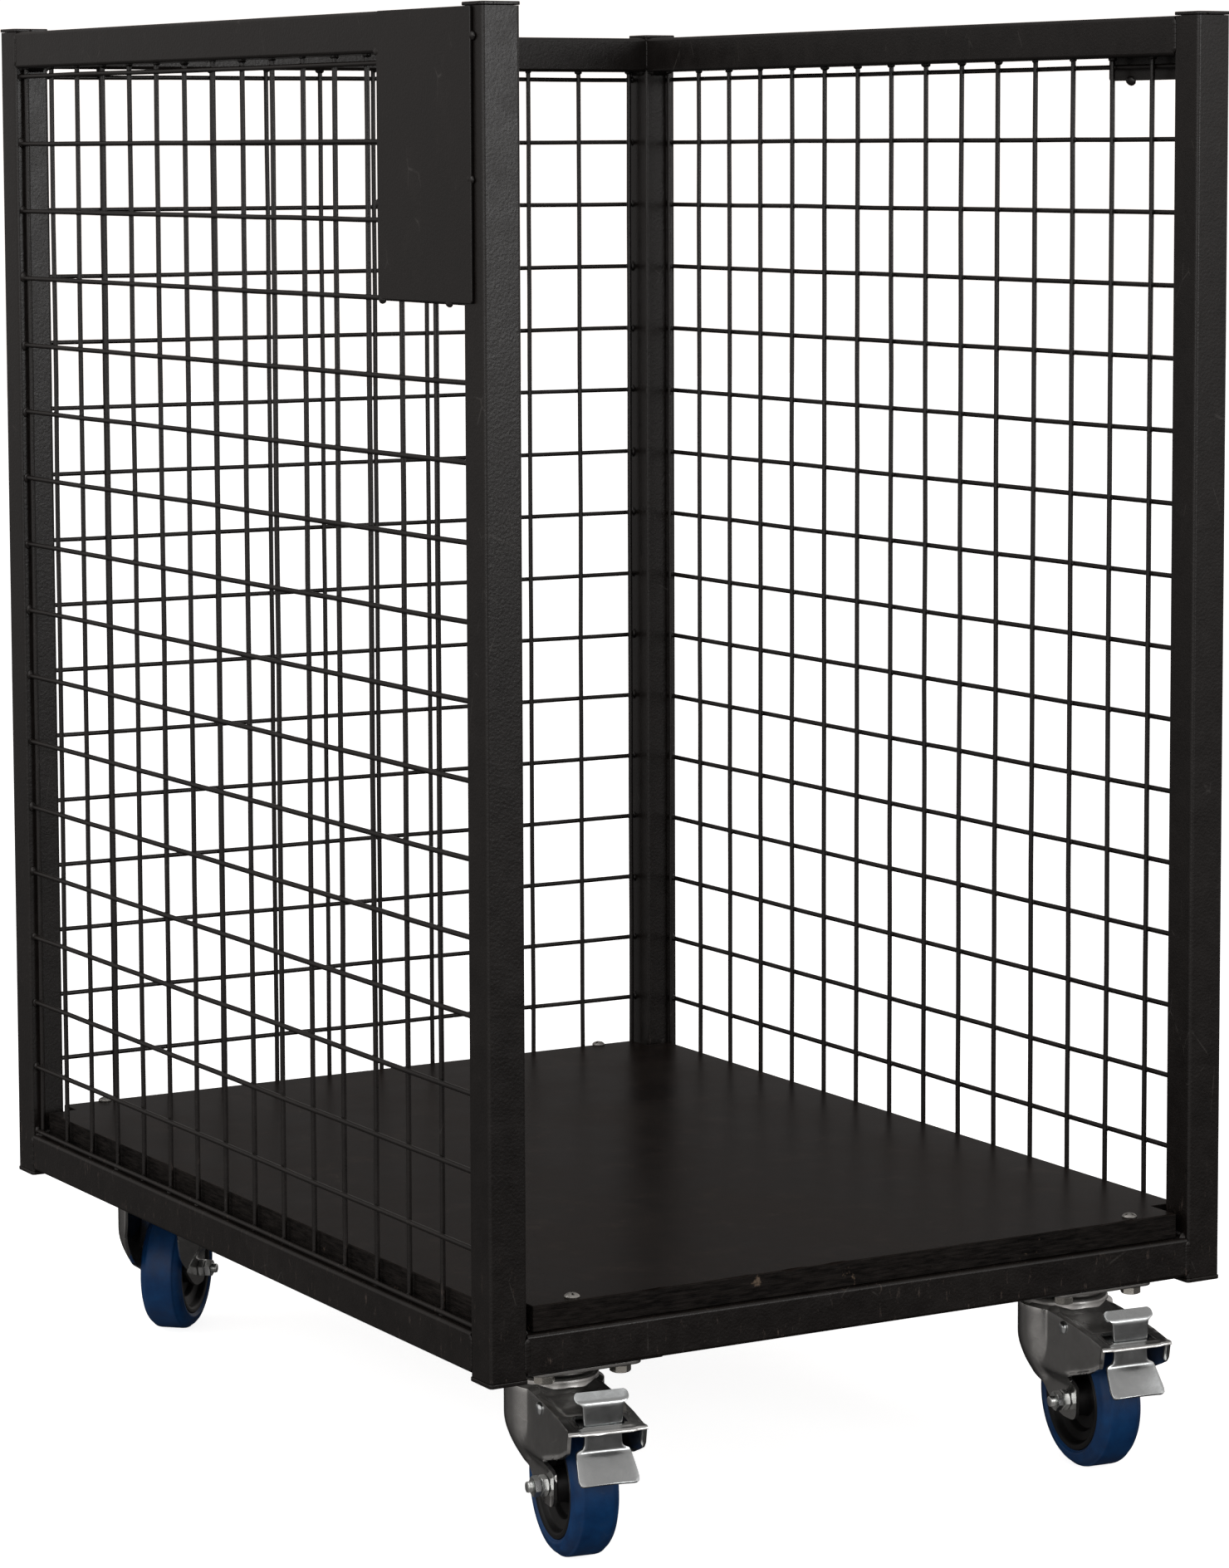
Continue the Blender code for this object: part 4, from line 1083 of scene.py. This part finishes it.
# Each wheel turns on an M8 bolt across the fork's legs: a hex head on one side, and on the other two nuts
# locked against each other with the rounded end of the thread standing out. It is bright zinc plated.

axle_zinc = plated_steel("axle_zinc", (0.80, 0.82, 0.81), gloss=0.27, dust=0.15, rubbing=0.4)
thread_radius, thread_root = 0.00395, 0.0034
thread_pitch = 0.0011
lock_nut_across_flats = 0.0128


def wheel_matrix(where):
    """From a part turned about Z, to the wheel's axle on the cart."""
    lay_down = Matrix.Translation((trail, 0.0, wheel_radius)) @ Matrix.Rotation(math.radians(-90), 4, "X")
    return castor_matrix(where) @ lay_down


def axle_bolt(where):
    """The head, both nuts and the bolt's shank, with the last turns of its thread."""
    node = "axle_bolt_" + where
    matrix = wheel_matrix(where)
    out = leg_half + 0.0003
    bm = bmesh.new()
    turn = Matrix.Rotation(math.radians(12.0), 4, "Z")
    hex_block(bm, m8_across_flats, out, out + 0.0053, False, True, matrix @ turn)
    hex_block(bm, m8_across_flats, -out, -out - 0.0051, True, True, matrix @ turn)
    turn = Matrix.Rotation(math.radians(15.0), 4, "Z")
    hex_block(bm, lock_nut_across_flats, -out - 0.0054, -out - 0.0106, True, True, matrix @ turn)
    thread = [(0.0, out + 0.001), (thread_radius, out + 0.001), (thread_radius, -out - 0.0098)]
    for number in range(4):
        level = -out - 0.0101 - thread_pitch * number
        thread += [(thread_radius, level), (thread_root, level - thread_pitch / 2)]
    tip = -out - 0.0146
    thread += [(0.0037, tip + 0.0003), (0.0032, tip + 0.0001), (0.0019, tip), (0.0, tip)]
    turned(bm, thread, 32, matrix)
    place_piece(bm, node + "_set", "fork_" + where, axle_zinc, (node,), 28.0)


for where in post_places:
    axle_bolt(where)


# The wheel centres are moulded from black nylon: a hub on the axle, a thin web that is stepped on both
# sides, and a flange that carries the tyre. They are matt, with dust in the corners.

hub_bore = 0.0044


def nylon_finish():
    made, tree, shader, place = new_finish("black_nylon", {"Specular IOR Level": 0.20})
    wear = worn(tree, place, 3.0, 0.06, 0.30)
    speckle = shader_node(tree, "TexNoise", Vector=place, Scale=900.0, Detail=2.0, Roughness=0.5)
    black, dark_grey = (0.0020, 0.0020, 0.0021), (0.0045, 0.0045, 0.0047)
    base = mixed_colour(tree, spread(tree, speckle, 0.35, 0.65), black, dark_grey)
    base = mixed_colour(tree, wear["Scratches"], base, (0.05, 0.05, 0.05))
    base = mixed_colour(tree, wear["Dust"], base, (0.10, 0.09, 0.08))
    tree.links.new(base, shader.inputs["Base Color"])
    dull = scaled_sum(tree, wear["Dust"], 0.3, spread(tree, speckle, 0.3, 0.7, 0.42, 0.52))
    tree.links.new(dull, shader.inputs["Roughness"])
    bumped(tree, shader, speckle, 0.10, 0.0003)
    return made


black_nylon = nylon_finish()


def both_sides(half):
    """A wheel's whole section from the one side of it."""
    return half + [(radius, -width) for radius, width in reversed(half)]


def wheel_centre(where):
    node = "wheel_rim_" + where
    half = [
        (hub_bore, 0.0165), (0.0120, 0.0165), (0.0124, 0.0160), (0.0128, 0.0070), (0.0140, 0.0048),
        (0.0165, 0.0042), (0.0225, 0.0050), (0.0236, 0.0066), (0.0240, 0.0086), (0.0250, 0.0096),
        (0.0302, 0.0106), (0.0314, 0.0116), (0.0324, 0.0144), (0.0333, 0.0157), (0.0348, 0.0162),
        (0.0370, 0.0162), (0.0375, 0.0156),
    ]
    bm = bmesh.new()
    turned(bm, both_sides(half), 72, wheel_matrix(where), True)
    place_piece(bm, node + "_moulding", "wheel_" + where, black_nylon, (node,), 38.0)


for where in post_places:
    wheel_centre(where)


# The tyres are moulded on in dark blue rubber, with a groove where they meet the wheel, a round shoulder
# and a flat tread. The tread is scuffed grey and holds the dust of the floor.

def rubber_finish():
    dark_blue, blue, rubbed_blue = (0.0026, 0.0230, 0.080), (0.0044, 0.042, 0.134), (0.010, 0.030, 0.080)
    pale_scratch, grey_dust = (0.04, 0.08, 0.16), (0.060, 0.060, 0.062)
    made, tree, shader, place = new_finish("blue_rubber", {"Specular IOR Level": 0.18})
    wear = worn(tree, place, 2.4, 0.16, 0.5)
    mottle = shader_node(tree, "TexNoise", Vector=place, Scale=70.0, Detail=6.0, Roughness=0.65)
    fine = shader_node(tree, "TexNoise", Vector=place, Scale=650.0, Detail=3.0, Roughness=0.6)
    base = mixed_colour(tree, spread(tree, mottle, 0.32, 0.7), dark_blue, blue)
    base = mixed_colour(tree, wear["Rubbing"], base, rubbed_blue)
    base = mixed_colour(tree, wear["Scratches"], base, pale_scratch)
    base = mixed_colour(tree, wear["Dust"], base, grey_dust)
    tree.links.new(base, shader.inputs["Base Color"])
    dull = scaled_sum(tree, wear["Dust"], 0.3, spread(tree, mottle, 0.3, 0.7, 0.36, 0.48))
    tree.links.new(dull, shader.inputs["Roughness"])
    bumped(tree, shader, sum_node(tree, "ADD", fine, mottle), 0.16, 0.0005)
    return made


blue_rubber = rubber_finish()


def tyre(where):
    node = "tyre_" + where
    half = [
        (0.0378, 0.0156), (0.0384, 0.0158), (0.0389, 0.0166), (0.0396, 0.0172), (0.0408, 0.01725),
        (0.0416, 0.0171), (0.0420, 0.0168), (0.0438, 0.0166), (0.0456, 0.0158), (0.0472, 0.0144),
        (0.0484, 0.0126), (0.0490, 0.0116), (0.0495, 0.0114), (0.0498, 0.0106), (0.0500, 0.0090),
        (0.0500, 0.0040),
    ]
    bm = bmesh.new()
    turned(bm, both_sides(half), 96, wheel_matrix(where), True)
    place_piece(bm, node + "_rubber", "wheel_" + where, blue_rubber, (node,), 50.0)


for where in post_places:
    tyre(where)


# Both front castors have a foot brake stamped from 2.5 mm steel: a neck that comes up through the hood's
# slot, with a tab folded over at the top and a flared foot below. It turns on a riveted pin and presses a
# shoe on the tyre.

brake_zinc = plated_steel("brake_zinc", (0.64, 0.67, 0.68), 0.18, 0.15, 0.5, (0.10, 0.085, 0.07), 1.8, 0.22)
pivot_ahead, pivot_down = 0.008, 0.008
foot_level = -0.020
foot_half = 0.0215


def bent_strip(bm, rows, columns):
    """Adds a strip of sheet pulled row by row along a side view of (x, z, width)."""
    x, z, width = rows[0]
    made = [bm.verts.new((x, width * (number / columns - 0.5), z)) for number in range(columns + 1)]
    edges = [bm.edges.new(pair) for pair in zip(made, made[1:])]
    for (_, _, width), (x, z, new_width) in zip(rows, rows[1:]):
        line, edges = pull_edges(bm, edges)
        for vert in line:
            vert.co = Vector((x, vert.co.y * new_width / width, z))
        made += line
    bmesh.ops.recalc_face_normals(bm, faces=bm.faces)
    return made


def brake_stamping(where, body, matrix):
    """The tab, the neck and the foot of the pedal, whose foot is a little hollow."""
    node = "brake_pedal_" + where
    rows = [
        (0.0422, 0.0198, 0.0340), (0.0427, 0.0193, 0.0366), (0.0434, 0.0186, 0.0384),
        (0.0443, 0.0177, 0.0392), (0.0455, 0.0165, 0.0394), (0.0464, 0.0156, 0.0392),
        (0.0472, 0.0148, 0.0384), (0.0478, 0.0141, 0.0366), (0.0482, 0.0135, 0.0340),
        (0.0484, 0.0128, 0.0314), (0.0485, 0.0120, 0.0299), (0.0485, 0.0105, 0.0292),
        (0.0485, 0.0050, 0.0286), (0.0485, 0.0010, 0.0278), (0.0485, -0.0040, 0.0270),
        (0.0485, -0.0100, 0.0270), (0.0485, -0.0140, 0.0273), (0.0485, -0.0160, 0.0281),
        (0.0485, -0.0172, 0.0302), (0.0485, -0.0180, 0.0334), (0.0485, -0.0188, 0.0368),
        (0.0486, -0.0196, 0.0384), (0.0488, -0.0205, 0.0391), (0.0493, -0.0216, 0.0396),
        (0.0501, -0.0229, 0.0401), (0.0540, -0.0285, 0.0416), (0.0578, -0.0339, 0.0430),
        (0.0600, -0.0369, 0.0433), (0.0615, -0.0390, 0.0422), (0.0621, -0.0398, 0.0397),
        (0.0624, -0.0402, 0.0352),
    ]
    bm = bmesh.new()
    for vert in bent_strip(bm, rows, 10):
        if vert.co.z < foot_level:
            bulge = 1.0 - (vert.co.y / foot_half) ** 2
            vert.co += Vector((0.0011, 0.0, 0.0009)) * bulge * ease((foot_level - vert.co.z) / 0.006)
    bmesh.ops.recalc_face_normals(bm, faces=bm.faces)
    bmesh.ops.transform(bm, matrix=matrix, verts=bm.verts)
    pedal = place_piece(bm, node + "_stamping", body, brake_zinc, (node,))
    thicken_sheet(pedal, 0.0, 0.0010)


def brake_tongue(where, body, matrix):
    """The tongue runs back under the hood, from the neck to the pin."""
    tongue = bmesh.new()
    bent_strip(tongue, [
        (-0.0040, -0.0014, 0.018), (-0.0030, -0.0014, 0.0235), (-0.0010, -0.0015, 0.025),
        (0.010, -0.0024, 0.025), (0.030, -0.0048, 0.025), (0.0468, -0.0069, 0.025),
        (0.0481, -0.0078, 0.025), (0.0485, -0.0095, 0.025),
    ], 6)
    bmesh.ops.transform(tongue, matrix=matrix, verts=tongue.verts)
    arm = place_piece(tongue, "brake_tongue_" + where, body, brake_zinc)
    thicken_sheet(arm, 0.0, 0.0005)


def foot_brake(where):
    """The pedal in its own side view from the pivot, with its tongue, its shoe and the hood's pin."""
    pivot = Vector((trail + pivot_ahead, 0.0, crown_level - pivot_down))
    matrix = castor_matrix(where) @ Matrix.Translation(pivot)
    body = "brake_" + where
    brake_stamping(where, body, matrix)
    brake_tongue(where, body, matrix)
    shoe = bmesh.new()
    made = block(shoe, (0.010, -0.0103, -0.0075), (0.018, 0.0103, -0.0014))
    round_edges(shoe, edges_of(made), 0.0012, 3)
    bmesh.ops.transform(shoe, matrix=matrix, verts=shoe.verts)
    place_piece(shoe, "brake_shoe_" + where, body, black_nylon)
    pin = bmesh.new()
    reach = fork_half_width(pivot.x, pivot.z)
    rivet = [
        (0.0025, reach + 0.0003), (0.0046, reach + 0.0003), (0.0045, reach + 0.0010),
        (0.0036, reach + 0.0019), (0.0018, reach + 0.0024), (0.0, reach + 0.0025),
    ]
    profile = [(radius, -level) for radius, level in reversed(rivet)] + rivet
    turned(pin, profile, 28, matrix @ Matrix.Rotation(math.radians(90), 4, "X"))
    place_piece(pin, "brake_pin_" + where, body, brake_zinc)


for where in ("front_left", "front_right"):
    foot_brake(where)


# The studio has a plain pale floor, which glows so that it stays even, and six soft lights, the strongest
# from the upper left and the front right. A pale room stands round it, dimmer below, overhead and behind
# the cart, and the camera sees it plain white.

floor_reach = 14.0


def floor_finish():
    glow = {"Emission Color": (1, 1, 1, 1), "Emission Strength": 0.86}
    matt = {"Roughness": 0.6, "Specular IOR Level": 0.2}
    made, tree, shader, place = new_finish("studio_floor", {**matt, **glow})
    faint = shader_node(tree, "TexNoise", Vector=place, Scale=1.5, Detail=2.0)
    pale = mixed_colour(tree, faint, (0.78, 0.78, 0.78), (0.82, 0.82, 0.82))
    tree.links.new(pale, shader.inputs["Base Color"])
    return made


ground = bmesh.new()
bmesh.ops.create_grid(ground, x_segments=1, y_segments=1, size=floor_reach)
floor_mesh = bpy.data.meshes.new("studio_floor")
ground.to_mesh(floor_mesh)
ground.free()
floor_mesh.materials.append(floor_finish())
studio_floor = bpy.data.objects.new("studio_floor", floor_mesh)
bpy.context.scene.collection.objects.link(studio_floor)
studio_floor.visible_glossy = False
studio_floor.visible_diffuse = False


def soft_light(name, place, aim, width, height, power):
    lamp = bpy.data.lights.new(name, "AREA")
    lamp.shape = "RECTANGLE"
    lamp.size, lamp.size_y = width, height
    lamp.energy = power
    made = bpy.data.objects.new(name, lamp)
    made.location = place
    made.rotation_euler = (Vector(aim) - Vector(place)).to_track_quat("-Z", "Y").to_euler()
    bpy.context.scene.collection.objects.link(made)


soft_light("key_light", (-2.6, 0.3, 2.6), (0.0, 0.0, 0.6), 2.2, 2.2, 26.0)
soft_light("top_light", (0.2, -0.4, 3.2), (0.0, 0.0, 0.3), 2.5, 2.5, 8.0)
soft_light("fill_light", (2.4, -2.6, 1.8), (0.0, 0.0, 0.6), 1.6, 1.6, 3.0)
soft_light("low_light", (-2.7, -1.6, 1.0), (0.0, -0.3, 0.1), 1.0, 1.3, 8.0)
soft_light("front_light", (-2.3, -3.5, 1.5), (0.0, -0.3, 0.2), 1.0, 1.0, 8.0)
soft_light("right_light", (1.2, -4.2, 1.35), (-0.3, -0.4, 0.9), 1.2, 1.2, 30.0)


def studio_room():
    """The room's light by direction, in a warm white, and plain white to the camera, past the cart."""
    white_to_camera = 1.12
    made = bpy.data.worlds.new("studio_room")
    made.use_nodes = True
    tree = made.node_tree
    backing = tree.nodes["Background"]
    backing.inputs["Color"].default_value = (1.0, 0.955, 0.93, 1.0)
    to_right, to_back, upward = separated(tree, tree.nodes.new("ShaderNodeTexCoord").outputs["Generated"])
    walls = spread(tree, upward, -0.20, 0.03, 0.04, 0.80)
    ceiling = spread(tree, upward, 0.30, 0.80, 0.0, 0.45)
    from_left = spread(tree, to_right, 0.15, -0.35, 0.0, 0.24)
    behind = spread(tree, to_back, 0.45, 0.80, 1.0, 0.32)
    room = sum_node(tree, "ADD", sum_node(tree, "SUBTRACT", walls, ceiling), from_left)
    room = sum_node(tree, "MULTIPLY", room, behind)
    seen = spread(tree, shader_node(tree, "LightPath"), 0.0, 1.0, 0.0, white_to_camera)
    tree.links.new(sum_node(tree, "MAXIMUM", seen, room), backing.inputs["Strength"])
    return made


bpy.context.scene.world = studio_room()
bpy.context.scene.view_settings.view_transform = "Standard"

photo_height = 1888
focal_pixels = 5678.93
horizon_row = 750
sensor = 36.0
lens = bpy.data.cameras.new("camera")
lens.sensor_width = sensor
lens.lens = focal_pixels / photo_height * sensor
lens.shift_y = (horizon_row - photo_height / 2) / photo_height
camera = bpy.data.objects.new("camera", lens)
bpy.context.scene.collection.objects.link(camera)
camera.location = (-1.7857, -3.1040, 0.9625)
camera.rotation_mode = "QUATERNION"
heading, tilt, roll = math.radians(-30.1093), math.radians(90 - 5.7502), math.radians(-0.2105)
camera.rotation_quaternion = (
    Matrix.Rotation(heading, 3, "Z") @ Matrix.Rotation(tilt, 3, "X") @ Matrix.Rotation(roll, 3, "Z")
).to_quaternion()
bpy.context.scene.camera = camera
